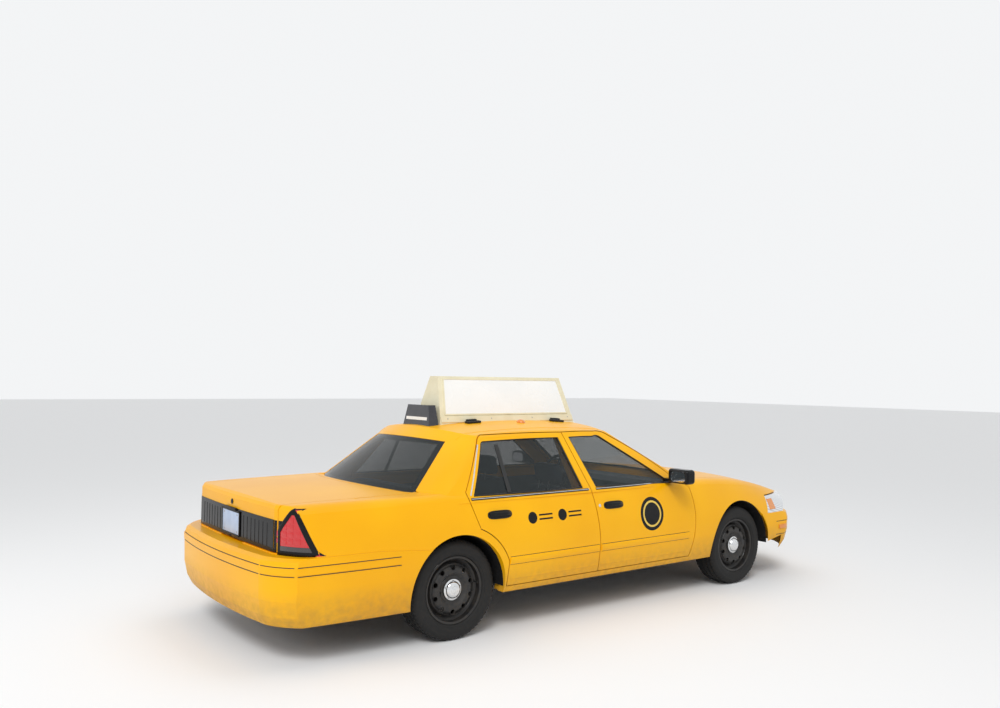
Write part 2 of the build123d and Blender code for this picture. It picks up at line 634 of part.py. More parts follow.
def turned(points, x, y, arcs=()):
    # points are (distance outwards from the wheel's middle plane, radius)
    edges = []
    for n, (a, b) in enumerate(zip(points, points[1:] + points[:1])):
        pa, pb = (x, y + a[0], tyre_radius + a[1]), (x, y + b[0], tyre_radius + b[1])
        if n in arcs:
            run = math.hypot(b[0] - a[0], b[1] - a[1])
            h = arcs[n]
            mid = (x, y + (a[0] + b[0]) / 2 + h * (b[1] - a[1]) / run, tyre_radius + (a[1] + b[1]) / 2 - h * (b[0] - a[0]) / run)
            edges.append(ThreePointArc(pa, mid, pb).edge())
        else:
            edges.append(Line(pa, pb).edge())
    return revolve(Face(Wire(edges)), Axis((x, y, tyre_radius), (0, 1, 0)), 360)


def tyre(x, y):
    w, r, bead = tyre_width / 2, tyre_radius, rim_radius + wheel_fit
    left_side = [(-78, bead), (-84, rim_flange + 2), (-w + 16, rim_flange + 6), (-w + 10, r - 28), (-w + 28, r - 6)]
    points = left_side + [(-a, b) for a, b in reversed(left_side)]
    return turned(points, x, y, {2: -9, 3: -4, 4: -6, 5: -4, 6: -9})


def rim(x, y, way):
    # outer side towards +way; a pressed disc with vent holes inside a drop-centre barrel
    half = 95.0
    barrel = [(-half, rim_flange), (-half + 8, rim_flange), (-half + 14, rim_radius), (-40, rim_radius), (-28, 196), (28, 196),
              (46, rim_radius), (half - 14, rim_radius), (half - 8, rim_flange), (half, rim_flange), (half - 4, 218), (50, 216),
              (34, 190), (-34, 190), (-46, 217), (-half + 4, 218)]
    disc = [(30, 192), (62, 178), (80, 150), (84, 118), (66, 92), (62, hub_radius), (58, hub_radius - 8), (60, hub_bore), (30, hub_bore),
            (30, hub_radius), (54, hub_radius + 4), (56, 96), (74, 120), (70, 146), (54, 170), (26, 184)]
    place = [(way * a, r) for a, r in barrel]
    wheel = turned(place, x, y) + turned([(way * a, r) for a, r in disc], x, y)
    vents = [Pos(x, y, tyre_radius) * Rot(0, 36 * n, 0) * Pos(0, way * 60, vent_circle) * Rot(90, 0, 0) * Cylinder(vent_radius, 90) for n in range(vent_count)]
    return wheel - vents


vent_count, vent_circle, vent_radius = 10, 152.0, 17.0
for end in ("front", "rear"):
    for way, hand in ((-1, "right"), (1, "left")):
        x, y = axle_x[end], way * tyre_centre[end]
        put(f"tyre_{end}_{hand}", tyre(x, y))
        put(f"rim_{end}_{hand}", rim(x, y, way))

# steering knuckles and front suspension
joint_low, joint_high = tyre_radius - 62, tyre_radius + 142
for way, hand in ((-1, "right"), (1, "left")):
    y = way * kingpin_y
    knuckle = rod((front_axle_x, y, joint_low + seat_gap), (front_axle_x, y, joint_high - seat_gap), 27)
    knuckle += across(front_axle_x, tyre_radius, 44, y - 30, y + 30)
    knuckle += across(front_axle_x, tyre_radius, spindle_radius, y, way * (front_half_track + 58))
    brake_y = way * (front_half_track + 6)
    knuckle += across(front_axle_x, tyre_radius, 148, brake_y - 12, brake_y + 12)
    knuckle += Pos(front_axle_x - 70, y, tyre_radius - 20) * Box(110, 30, 40)
    put(f"knuckle_{hand}", knuckle)

# frame: two rails that run narrow at the wheels, with crossmembers
floor_z = sill_top
floor_thick = 5.0
rail_wide_y, rail_front_y, rail_rear_y, rail_width = 690.0, 430.0, 500.0, 78.0
rail_high = floor_z - seat_gap
rail_low = rail_high - 107
rear_rise, axle_rise, front_rise = 155.0, 215.0, 135.0
rear_end, front_end = tail_x + 190, nose_x - 230
half_rail = rail_width / 2
plan_points = [(rear_end, rail_rear_y), (rear_axle_x + 560, rail_rear_y), (rear_axle_x + 800, rail_wide_y), (front_axle_x - 700, rail_wide_y),
               (front_axle_x - 470, rail_front_y), (front_end, rail_front_y)]
rail_line = [(rear_end, rear_rise), (rear_axle_x - 520, rear_rise), (rear_axle_x - 250, axle_rise), (rear_axle_x + 250, axle_rise),
             (rear_axle_x + 640, 0), (front_axle_x - 640, 0), (front_axle_x - 420, front_rise), (front_end, front_rise)]
outline_top = Polygon(*[(x, -y - half_rail) for x, y in plan_points], *[(x, -y + half_rail) for x, y in reversed(plan_points)], align=None)
outline_side = Plane.XZ * Polygon(*[(x, rail_low + z) for x, z in rail_line], *[(x, rail_high + z) for x, z in reversed(rail_line)], align=None)
rail = extrude(outline_top, 1500) & extrude(outline_side, 1200, both=True)
frame = rail + left(rail)
crossmembers = [(rear_end + 40, rear_rise + 20, rail_rear_y), (rear_axle_x - 330, axle_rise - 20, rail_rear_y), (rear_axle_x + 700, 20, rail_wide_y - 90),
                (front_axle_x - 560, 15, 560), (front_end - 60, front_rise + 10, rail_front_y)]
for x, rise, y in crossmembers:
    frame += block(x - 40, x + 40, -y, y, rail_low + rise, rail_low + rise + 62)
towers = block(front_axle_x - 70, front_axle_x + 70, -rail_front_y, rail_front_y, 215, 262)
towers += [block(front_axle_x - 60, front_axle_x + 60, way * rail_front_y - 44, way * rail_front_y + 44, 215, joint_high + 40) for way in (-1, 1)]
spring_y, spring_low_z, spring_high_z = 400.0, 392.0, 520.0
spring_seats = [block(rear_axle_x - 60, rear_axle_x + 60, *sorted((way * 342, way * (rail_rear_y - half_rail + 5))), spring_high_z, spring_high_z + 16) for way in (-1, 1)]
frame = frame + towers + spring_seats
put("frame", frame)

# front suspension: lower and upper arms between the frame and the knuckles
arm_inner_y = rail_front_y + 44
arms = []
for way in (-1, 1):
    for z0, z1, spread, width in ((joint_low - 32, joint_low, 150, 26), (joint_high, joint_high + 22, 55, 26)):
        lever = Plane.XY.offset(z0) * Polygon((front_axle_x - spread, way * arm_inner_y), (front_axle_x + spread, way * arm_inner_y),
                                              (front_axle_x + width, way * (arm_inner_y + 60)), (front_axle_x + width, way * kingpin_y),
                                              (front_axle_x - width, way * kingpin_y), (front_axle_x - width, way * (arm_inner_y + 60)), align=None)
        arms.append(extrude(lever, z1 - z0, dir=(0, 0, 1)) + rod((front_axle_x, way * kingpin_y, z0), (front_axle_x, way * kingpin_y, z1), width))
put("front_suspension", *arms)

# rear axle, coil springs and dampers
axle_z = tyre_radius
rear_axle = across(rear_axle_x, axle_z, 40, -rear_half_track + 45, rear_half_track - 45)
rear_axle += Pos(rear_axle_x, 0, axle_z) * Sphere(140)
rear_axle += rod((rear_axle_x, 0, axle_z), (rear_axle_x + 250, 0, axle_z + 6), 46)
for way in (-1, 1):
    rear_axle += across(rear_axle_x, axle_z, 140, way * (rear_half_track - 45), way * (rear_half_track - 15))
    rear_axle += across(rear_axle_x, axle_z, spindle_radius, way * (rear_half_track - 60), way * (rear_half_track + 58))
link_y, link_z = 430.0, 318.0
for way in (-1, 1):
    rear_axle += rod((rear_axle_x, way * spring_y, axle_z), (rear_axle_x, way * spring_y, spring_low_z), 60)
    rear_axle += block(rear_axle_x, rear_axle_x + 70, way * link_y - 22, way * link_y + 22, link_z - 26, axle_z)
put("rear_axle", rear_axle)
springs = []
coil_count = 4
pitch = (spring_high_z - spring_low_z - 2 * seat_gap) / coil_count
for way in (-1, 1):
    # a closed stack of coils, solid inside so that it is one body
    x, y, z = rear_axle_x, way * spring_y, spring_low_z + seat_gap
    edges = [Line((x, y, z), (x + 44, y, z)).edge()]
    for n in range(coil_count):
        z0, z1 = z + n * pitch, z + (n + 1) * pitch
        edges.append(ThreePointArc((x + 44, y, z0), (x + 54, y, (z0 + z1) / 2), (x + 44, y, z1)).edge())
    edges += [Line((x + 44, y, z1), (x, y, z1)).edge(), Line((x, y, z1), (x, y, z)).edge()]
    springs.append(revolve(Face(Wire(edges)), Axis((x, y, 0), (0, 0, 1)), 360))
link_end_x = rear_axle_x + 700 - 40
links = [block(rear_axle_x + 70 + seat_gap, link_end_x - seat_gap, way * link_y - 20, way * link_y + 20, link_z - 60, link_z - 20) for way in (-1, 1)]
put("rear_suspension", *springs, *links)

# floor pan with firewall, tunnel, seat step, bulkhead and trunk floor
step_x = rear_axle_x + 700
floor_half = side_y(sill_z) - post_deep + 18
rear_floor_z, trunk_floor_z = rail_high + axle_rise + seat_gap, rail_high + rear_rise + seat_gap
bulkhead_x = rear_axle_x - 30
shelf_z = belt_z + 6
trunk_end_x = body_rear_x + door_wall + 3

floor_line = [(firewall_x, firewall_top_z), (firewall_x, floor_z + 190), (firewall_x - 150, floor_z), (step_x, floor_z), (step_x - 60, rear_floor_z),
              (rear_axle_x - 250, rear_floor_z), (rear_axle_x - 520, trunk_floor_z), (trunk_end_x, trunk_floor_z), (trunk_end_x, lid_low_z - 12)]


def sheet(points, thick, half):
    # closed outline: the line itself, then the line moved by thick to its upper side
    upper = []
    for n, (x, z) in enumerate(points):
        before = points[max(n - 1, 0)]
        after = points[min(n + 1, len(points) - 1)]
        normals = []
        for a, b in ((before, (x, z)), ((x, z), after)):
            run = math.hypot(b[0] - a[0], b[1] - a[1])
            if run:
                normals.append(((b[1] - a[1]) / run, -(b[0] - a[0]) / run))
        nx, nz = sum(n[0] for n in normals), sum(n[1] for n in normals)
        scale = thick * len(normals) / (nx * nx + nz * nz)
        upper.append((x + nx * scale, z + nz * scale))
    outline = Plane.XZ * Polygon(*points, *reversed(upper), align=None)
    return extrude(outline, half, both=True)


floor_limit = block(rear_axle_x + 60, firewall_x + 100, -floor_half, floor_half, 0, roof_z) + (wall_inside & block(tail_x, rear_axle_x + 60, -body_half, body_half, 0, roof_z))
floor_pan = sheet(floor_line, floor_thick, body_half) & floor_limit
bulkhead = sheet([(bulkhead_x - 420, shelf_z), (bulkhead_x - 60, shelf_z), (bulkhead_x, shelf_z - 60), (bulkhead_x, rear_floor_z)], floor_thick, floor_half - 150)
tunnel_half, tunnel_top = 150.0, floor_z + 150
tunnel_span = (step_x - 62, firewall_x + 8)
tunnel = block(*tunnel_span, -tunnel_half, tunnel_half, floor_z, tunnel_top)
tunnel_space = block(tunnel_span[0] - 20, tunnel_span[1] + 20, -tunnel_half + floor_thick, tunnel_half - floor_thick, floor_z - 20, tunnel_top - floor_thick)
floor_pan = ((floor_pan + bulkhead + tunnel) - [tunnel_space, a_post, b_post, a_foot, left(a_post), left(b_post), left(a_foot)]) - arches
put("floor_pan", floor_pan)

# wheel liners
liner = 4.0


def wheel_liner(x, radius, way, inner_y, wall_low):
    outer_y = body_half - 42
    r = radius - seat_gap
    ring = across(x, tyre_radius, r, way * inner_y, way * outer_y) - across(x, tyre_radius, r - liner, way * (inner_y + (liner if wall_low else -1)), way * (outer_y + 1))
    if wall_low:
        ring -= block(x - 500, x + 500, *sorted((way * (inner_y - 1), way * (inner_y + liner + 1))), 0, wall_low)
    return ring - block(x - 500, x + 500, *sorted((way * 300, way * body_half)), -200, tyre_radius - 10)


arch_inner_front, arch_inner_rear = 484.0, arch_inner_y + seat_gap
liners = [wheel_liner(front_axle_x, front_arch_radius, way, arch_inner_front, 0) for way in (-1, 1)]
liners += [wheel_liner(rear_axle_x, rear_arch_radius, way, arch_inner_rear, tyre_radius + 95) for way in (-1, 1)]
put("wheel_liners", *liners)

# engine, driveline, exhaust, tank and radiator
engine_back = firewall_x + 60
shaft_z = floor_z + 60
gearbox_low = rail_low + crossmembers[3][1] + 62 + seat_gap
engine = block(engine_back, front_axle_x + 300, -270, 270, gearbox_low, belt_z - 150)
engine += block(engine_back - 700, engine_back, -105, 105, gearbox_low, gearbox_low + 150)
put("engine", engine)
pinion = (rear_axle_x + 250.9, 0, axle_z + 6)
put("driveshaft", rod(pinion, (engine_back - 700.9, 0, gearbox_low + 75), 42))

pipe_radius, pipe_y = 26.0, -310.0
pipe_line = [(front_axle_x - 250, -270 - seat_gap, 400), (front_axle_x - 300, pipe_y - 20, 380), (front_axle_x - 480, pipe_y, 196), (rear_axle_x + 1500, pipe_y, 196),
             (rear_axle_x + 1400, pipe_y, 240), (rear_axle_x + 900, pipe_y, 240), (rear_axle_x + 800, pipe_y, 206), (rear_axle_x + 520, pipe_y, 206),
             (rear_axle_x + 200, pipe_y, 425), (rear_axle_x - 150, pipe_y, 425), (rear_axle_x - 360, -500, 318), (tail_x + 160, -520, 300)]
exhaust = rod(pipe_line[0], pipe_line[1], pipe_radius)
for a, b in zip(pipe_line[1:], pipe_line[2:]):
    exhaust += rod(a, b, pipe_radius)
    exhaust += Pos(*a) * Sphere(pipe_radius)
exhaust += rod(pipe_line[4], pipe_line[5], 68)
exhaust -= block(engine_back, front_axle_x, -270 - seat_gap, 270, 0, belt_z)
put("exhaust", exhaust)

tank = block(rear_axle_x - 800, rear_axle_x - 400, -430, 430, 285, trunk_floor_z - seat_gap)
tank = fillet(tank.edges().filter_by(Axis.Z), 60)
put("fuel_tank", tank)
radiator = block(front_end - 95, front_end - 30, -370, 370, rail_low + crossmembers[4][1] + 62 + seat_gap, nose_lip_z - 10)
put("radiator", radiator)

# cabin
dash_x = firewall_x - floor_thick - seat_gap
dash = extrude(Plane.XZ * Polygon((dash_x, belt_z - 100), (dash_x, floor_z + 330), (dash_x - 190, floor_z + 330), (dash_x - 330, floor_z + 420),
                                  (dash_x - 350, belt_z - 70), (dash_x - 300, belt_z - 30), (dash_x - 40, belt_z - 34), align=None), body_half - 190, both=True)
put("dashboard", dash)
driver_y = 380.0
column_top = (dash_x - 520, driver_y, belt_z - 40)
column_foot = (dash_x - 340, driver_y, belt_z - 130)
lean = Vector(*column_top) - Vector(*column_foot)
wheel_plane = Plane(origin=column_top, z_dir=lean, x_dir=(0, 1, 0))
steering = wheel_plane * Torus(180, 14)
steering += wheel_plane * Cylinder(48, 34)
steering += [wheel_plane * Rot(0, 0, a) * Pos(90, 0, 0) * Box(180, 26, 14) for a in (0, 180, 270)]
steering += rod(column_foot, column_top, 34)
steering -= dash
put("steering_wheel", largest(steering))


def cushion(x0, x1, y0, y1, z0, z1, lean_x=0.0, round_by=30.0):
    base = Plane.XZ.offset(-y1) * Polygon((x0, z0), (x1, z0), (x1 + lean_x, z1), (x0 + lean_x, z1), align=None)
    solid = extrude(base, y1 - y0)
    return fillet(solid.edges(), round_by)


seat_z = floor_z + floor_thick + seat_gap
front_seat_x = dash_x - 1190
seats = []
for way in (-1, 1):
    y0, y1 = sorted((way * 170, way * 690))
    seats.append(block(front_seat_x + 60, front_seat_x + 480, y0 + 60, y1 - 60, seat_z, seat_z + 130))
    seats.append(cushion(front_seat_x, front_seat_x + 540, y0, y1, seat_z + 130 + seat_gap, seat_z + 300))
    seats.append(cushion(front_seat_x - 20, front_seat_x + 110, y0 + 20, y1 - 20, seat_z + 300 + seat_gap, belt_z - 20, -150))
    middle = (y0 + y1) / 2
    seats.append(cushion(front_seat_x - 150, front_seat_x - 50, middle - 130, middle + 130, belt_z - 20 + seat_gap, belt_z + 160, -30))
put("front_seats", *seats)
bench = cushion(step_x - 520, step_x - 40, -floor_half + 110, floor_half - 110, rear_floor_z + floor_thick + seat_gap, rear_floor_z + 165)
bench_back = cushion(bulkhead_x + 190, bulkhead_x + 320, -floor_half + 110, floor_half - 110, rear_floor_z + 165 + seat_gap, belt_z + 10, -150)
wheelhouses = [across(rear_axle_x, tyre_radius, rear_arch_radius + 6, way * (arch_inner_y - 6), way * body_half) for way in (-1, 1)]
put("rear_seat", bench - wheelhouses, bench_back - wheelhouses)

# roof sign and roof light
sign_rear, sign_front = rear_axle_x + 328, rear_axle_x + 1728
sign_top_z = roof_z + 351
sign_base_half, sign_top_half = 197.0, 53.0
above_roof = cabin(-seat_gap)
sign_base_z = roof_z - 40
sign = loft([
    Plane.XY.offset(sign_base_z) * Pos((sign_rear + sign_front) / 2, 0) * Rectangle(sign_front - sign_rear, 2 * sign_base_half),
    Plane.XY.offset(sign_top_z) * Pos((sign_rear + sign_front) / 2, 0) * Rectangle(sign_front - sign_rear - 114, 2 * sign_top_half),
], ruled=True) - above_roof
put("roof_sign", largest(sign))
light = loft([
    Plane.XY.offset(sign_base_z) * Pos(sign_rear - 60, 0) * Rectangle(90, 380),
    Plane.XY.offset(roof_z + 122) * Pos(sign_rear - 55, 0) * Rectangle(64, 300),
], ruled=True) - above_roof
put("roof_light", largest(light))

# door mirrors
mirror_x = front_hinge_x - 290
mirror_low, mirror_cabin = lower_body(-seat_gap), above_roof
for way, hand in ((-1, "right"), (1, "left")):
    shell_box = Pos(mirror_x, -(body_half + 70), belt_z + 55) * Box(110, 200, 120)
    housing = fillet(shell_box.edges().filter_by(Axis.Y), 30)
    housing = fillet(housing.faces().sort_by(Axis.Y)[0].edges(), 25)
    foot = block(mirror_x - 45, mirror_x + 45, -(body_half - 15), -(body_half - 100), belt_z - 5, belt_z + 30)
    mirror_part = largest((housing + foot) - [mirror_low, mirror_cabin])
    put(f"mirror_{hand}", mirror_part if way < 0 else left(mirror_part))
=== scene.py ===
import math
import bpy
import bmesh
from mathutils import Matrix, Vector
from mathutils.bvhtree import BVHTree


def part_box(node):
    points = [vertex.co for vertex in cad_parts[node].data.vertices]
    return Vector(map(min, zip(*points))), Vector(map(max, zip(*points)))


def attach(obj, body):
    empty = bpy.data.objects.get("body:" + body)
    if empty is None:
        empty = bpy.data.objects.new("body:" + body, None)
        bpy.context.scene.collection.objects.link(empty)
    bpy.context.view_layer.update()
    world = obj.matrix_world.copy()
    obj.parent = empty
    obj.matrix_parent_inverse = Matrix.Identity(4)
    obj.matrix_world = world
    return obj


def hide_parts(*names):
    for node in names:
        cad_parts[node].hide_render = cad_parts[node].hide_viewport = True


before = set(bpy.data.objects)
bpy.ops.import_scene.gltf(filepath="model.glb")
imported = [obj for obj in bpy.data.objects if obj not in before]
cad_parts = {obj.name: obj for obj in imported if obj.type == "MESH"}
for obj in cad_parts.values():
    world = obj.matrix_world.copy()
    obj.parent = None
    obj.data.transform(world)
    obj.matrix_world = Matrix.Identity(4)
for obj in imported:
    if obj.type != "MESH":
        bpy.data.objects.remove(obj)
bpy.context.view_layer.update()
print("frame loaded,", len(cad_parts), "nodes")

# places on the car in metres, +X forward, +Y left, +Z up
car = {
    "frontAxleX": 1.6835, "rearAxleX": -1.3825, "axleZ": 0.345,
    "frontTrack": 0.805, "rearTrack": 0.795,
}


# materials
def startMaterial(name):
    material = bpy.data.materials.new(name)
    material.use_nodes = True
    tree = material.node_tree
    shader = tree.nodes["Principled BSDF"]
    place = tree.nodes.new("ShaderNodeTexCoord")
    return material, tree, shader, place


def addNoise(tree, place, scale, detail=3.0, stretch=None):
    noise = tree.nodes.new("ShaderNodeTexNoise")
    noise.inputs["Scale"].default_value = scale
    noise.inputs["Detail"].default_value = detail
    source = place.outputs["Object"]
    if stretch:
        mapping = tree.nodes.new("ShaderNodeMapping")
        mapping.inputs["Scale"].default_value = stretch
        tree.links.new(source, mapping.inputs["Vector"])
        source = mapping.outputs["Vector"]
    tree.links.new(source, noise.inputs["Vector"])
    return noise


def addRamp(tree, source, stops):
    ramp = tree.nodes.new("ShaderNodeValToRGB")
    elements = ramp.color_ramp.elements
    while len(elements) < len(stops):
        elements.new(0.5)
    for element, (place, color) in zip(elements, stops):
        element.position = place
        element.color = (*color, 1.0) if len(color) == 3 else color
    tree.links.new(source, ramp.inputs["Fac"])
    return ramp


def addBump(tree, shader, source, strength, distance=0.001):
    bump = tree.nodes.new("ShaderNodeBump")
    bump.inputs["Strength"].default_value = strength
    bump.inputs["Distance"].default_value = distance
    tree.links.new(source, bump.inputs["Height"])
    tree.links.new(bump.outputs["Normal"], shader.inputs["Normal"])
    return bump


def grainyFinish(name, color, shade, roughness, spread=0.1, scale=40.0, bump=0.0, bumpScale=300.0,
        metallic=0.0, coat=0.0, stretch=None, shine=0.5):
    # colour moves a little between color and shade, roughness by spread
    material, tree, shader, place = startMaterial(name)
    noise = addNoise(tree, place, scale, stretch=stretch)
    ramp = addRamp(tree, noise.outputs["Fac"], [(0.35, shade), (0.65, color)])
    tree.links.new(ramp.outputs["Color"], shader.inputs["Base Color"])
    rough = addRamp(tree, noise.outputs["Fac"],
        [(0.3, (roughness + spread,) * 3), (0.7, (max(roughness - spread, 0.02),) * 3)])
    tree.links.new(rough.outputs["Color"], shader.inputs["Roughness"])
    shader.inputs["Metallic"].default_value = metallic
    shader.inputs["Specular IOR Level"].default_value = shine
    shader.inputs["Coat Weight"].default_value = coat
    shader.inputs["Coat Roughness"].default_value = 0.04
    if bump:
        fine = addNoise(tree, place, bumpScale, 2.0, stretch)
        addBump(tree, shader, fine.outputs["Fac"], bump)
    return material


def makeTaxiPaint(look):
    material, tree, shader, place = startMaterial("taxiPaint")
    tone = addNoise(tree, place, 1.6, 2.0)
    ramp = addRamp(tree, tone.outputs["Fac"], [(0.3, look["shade"]), (0.7, look["color"])])
    # road dust low on the sides, broken up by noise
    split = tree.nodes.new("ShaderNodeSeparateXYZ")
    tree.links.new(place.outputs["Object"], split.inputs["Vector"])
    height = tree.nodes.new("ShaderNodeMapRange")
    height.inputs["From Min"].default_value = look["dustTop"]
    height.inputs["From Max"].default_value = 0.24
    tree.links.new(split.outputs["Z"], height.inputs["Value"])
    speckle = addNoise(tree, place, 22.0, 6.0)
    amount = tree.nodes.new("ShaderNodeMath")
    amount.operation = "MULTIPLY"
    tree.links.new(height.outputs["Result"], amount.inputs[0])
    tree.links.new(speckle.outputs["Fac"], amount.inputs[1])
    mix = tree.nodes.new("ShaderNodeMix")
    mix.data_type = "RGBA"
    tree.links.new(amount.outputs["Value"], mix.inputs["Factor"])
    tree.links.new(ramp.outputs["Color"], mix.inputs["A"])
    mix.inputs["B"].default_value = (*look["dust"], 1.0)
    tree.links.new(mix.outputs["Result"], shader.inputs["Base Color"])
    rough = addRamp(tree, amount.outputs["Value"], [(0.0, (look["roughness"],) * 3), (0.5, (0.6,) * 3)])
    tree.links.new(rough.outputs["Color"], shader.inputs["Roughness"])
    shader.inputs["Specular IOR Level"].default_value = look["shine"]
    shader.inputs["Coat Weight"].default_value = look["coat"]
    shader.inputs["Coat Roughness"].default_value = 0.03
    peel = addNoise(tree, place, 260.0, 1.0)
    addBump(tree, shader, peel.outputs["Fac"], 0.03)
    return material


def makeGlass(name, color, alpha, haze=0.03):
    material, tree, shader, place = startMaterial(name)
    smear = addNoise(tree, place, 5.0, 4.0, (1, 1, 3))
    ramp = addRamp(tree, smear.outputs["Fac"], [(0.35, (haze,) * 3), (0.75, (haze + 0.06,) * 3)])
    tree.links.new(ramp.outputs["Color"], shader.inputs["Roughness"])
    tint = addRamp(tree, smear.outputs["Fac"], [(0.3, color), (0.8, tuple(c * 1.25 for c in color))])
    tree.links.new(tint.outputs["Color"], shader.inputs["Base Color"])
    shader.inputs["Alpha"].default_value = alpha
    shader.inputs["IOR"].default_value = 1.52
    shader.inputs["Specular IOR Level"].default_value = 0.5
    material.surface_render_method = "BLENDED"
    return material


def makeLens(name, color, deep, ribScale, direction, alpha=1.0):
    # ribbed lamp glass: colour and relief follow fine ribs
    material, tree, shader, place = startMaterial(name)
    wave = tree.nodes.new("ShaderNodeTexWave")
    wave.bands_direction = direction
    wave.inputs["Scale"].default_value = ribScale
    wave.inputs["Distortion"].default_value = 0.0
    tree.links.new(place.outputs["Object"], wave.inputs["Vector"])
    ramp = addRamp(tree, wave.outputs["Fac"], [(0.2, deep), (0.8, color)])
    tree.links.new(ramp.outputs["Color"], shader.inputs["Base Color"])
    shader.inputs["Roughness"].default_value = 0.08
    shader.inputs["Coat Weight"].default_value = 1.0
    shader.inputs["Coat Roughness"].default_value = 0.02
    shader.inputs["Alpha"].default_value = alpha
    addBump(tree, shader, wave.outputs["Fac"], 0.10, 0.001)
    return material


paintLook = {"color": (0.94, 0.47, 0.000), "shade": (0.88, 0.41, 0.000), "dust": (0.28, 0.17, 0.06),
    "dustTop": 0.50, "roughness": 0.34, "shine": 0.24, "coat": 0.10}
taxiPaint = makeTaxiPaint(paintLook)
tintedGlass = makeGlass("tintedGlass", (0.010, 0.016, 0.017), 0.50)
clearGlass = makeGlass("clearGlass", (0.02, 0.032, 0.032), 0.34)
tyreRubber = grainyFinish("tyreRubber", (0.012, 0.012, 0.012), (0.020, 0.019, 0.018), 0.72, 0.08, 30,
    0.25, 500, shine=0.3)
wheelSteel = grainyFinish("wheelSteel", (0.016, 0.016, 0.017), (0.034, 0.030, 0.026), 0.42, 0.12, 26,
    0.08, 400, shine=0.4)
chromeTrim = grainyFinish("chromeTrim", (0.78, 0.79, 0.80), (0.70, 0.71, 0.72), 0.12, 0.05, 60,
    metallic=1.0)
blackPlastic = grainyFinish("blackPlastic", (0.010, 0.010, 0.011), (0.018, 0.018, 0.018), 0.48, 0.10, 60,
    0.20, 900, shine=0.3)
glossBlack = grainyFinish("glossBlack", (0.004, 0.004, 0.005), (0.007, 0.007, 0.007), 0.16, 0.05, 30,
    shine=0.22)
sealRubber = grainyFinish("sealRubber", (0.012, 0.012, 0.012), (0.022, 0.022, 0.022), 0.62, 0.10, 80,
    0.15, 700)
lampRed = makeLens("lampRed", (0.66, 0.004, 0.008), (0.44, 0.001, 0.003), 60.0, "Z")
lampClear = makeLens("lampClear", (0.78, 0.80, 0.82), (0.52, 0.54, 0.57), 34.0, "Y")
lampSmoke = makeLens("lampSmoke", (0.035, 0.030, 0.032), (0.012, 0.010, 0.011), 50.0, "Y")
lampAmber = makeLens("lampAmber", (0.90, 0.30, 0.01), (0.60, 0.16, 0.00), 50.0, "Z")
signCream = grainyFinish("signCream", (0.80, 0.75, 0.55), (0.73, 0.67, 0.47), 0.42, 0.08, 6, 0.06, 200)
signPanel = grainyFinish("signPanel", (0.90, 0.91, 0.90), (0.84, 0.86, 0.86), 0.30, 0.06, 2)
signSmoke = grainyFinish("signSmoke", (0.012, 0.013, 0.020), (0.022, 0.022, 0.032), 0.20, 0.05, 20,
    coat=0.5)
plateBlank = grainyFinish("plateBlank", (0.46, 0.55, 0.72), (0.40, 0.49, 0.66), 0.35, 0.06, 14, 0.1, 120)
seatVinyl = grainyFinish("seatVinyl", (0.030, 0.055, 0.110), (0.022, 0.040, 0.085), 0.46, 0.10, 16, 0.45,
    420)
trimGrey = grainyFinish("trimGrey", (0.11, 0.12, 0.14), (0.085, 0.092, 0.11), 0.62, 0.08, 40, 0.35, 600)
carpetDark = grainyFinish("carpetDark", (0.040, 0.042, 0.048), (0.022, 0.023, 0.027), 0.93, 0.05, 260,
    0.9, 800)
chassisBlack = grainyFinish("chassisBlack", (0.020, 0.020, 0.021), (0.060, 0.045, 0.034), 0.62, 0.16, 9,
    0.25, 160)
castAlloy = grainyFinish("castAlloy", (0.30, 0.31, 0.32), (0.20, 0.20, 0.20), 0.50, 0.12, 24, 0.5, 220,
    metallic=0.8)
steelBright = grainyFinish("steelBright", (0.50, 0.50, 0.51), (0.36, 0.36, 0.37), 0.34, 0.10, 40, 0.1,
    300, metallic=1.0)
silverReflector = grainyFinish("silverReflector", (0.85, 0.86, 0.88), (0.74, 0.75, 0.78), 0.08, 0.04, 40,
    metallic=1.0)
paleRing = grainyFinish("paleRing", (0.80, 0.56, 0.10), (0.74, 0.50, 0.08), 0.35, 0.05, 30)
print("materials ready")

nodeFinish = {
    "engine": castAlloy, "radiator": blackPlastic, "fuel_tank": chassisBlack,
    "driveshaft": steelBright, "exhaust": steelBright, "tail_lamps": lampRed, "headlamps": lampClear,
    "grille": chromeTrim, "rear_garnish": glossBlack, "wheel_liners": blackPlastic,
    "dashboard": trimGrey, "steering_wheel": blackPlastic, "mirror_left": glossBlack,
    "mirror_right": glossBlack, "roof_sign": signCream, "roof_light": signSmoke,
    "front_seats": seatVinyl, "rear_seat": seatVinyl, "floor_pan": chassisBlack,
    "frame": chassisBlack, "front_suspension": chassisBlack, "rear_suspension": chassisBlack,
    "rear_axle": chassisBlack, "knuckle_left": steelBright, "knuckle_right": steelBright,
    "windshield": clearGlass, "rear_window": tintedGlass,
}
for name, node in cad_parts.items():
    if name in nodeFinish:
        finish = nodeFinish[name]
    elif name.startswith("tyre"):
        finish = tyreRubber
    elif name.startswith("rim"):
        finish = wheelSteel
    elif "glass" in name:
        finish = tintedGlass if name.startswith("rear") else clearGlass
    else:
        finish = taxiPaint
    node.data.materials.clear()
    node.data.materials.append(finish)


# making and placing
def addPiece(name, mesh, material, body, smooth=True, bevel=0.0):
    piece = bpy.data.objects.new(name, mesh)
    bpy.context.scene.collection.objects.link(piece)
    mesh.materials.clear()
    mesh.materials.append(material)
    if smooth:
        mesh.shade_smooth()
        mesh.set_sharp_from_angle(angle=math.radians(38))
    if bevel:
        edge = piece.modifiers.new("edge", "BEVEL")
        edge.width = bevel
        edge.segments = 2
        edge.limit_method = "ANGLE"
    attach(piece, body)
    return piece


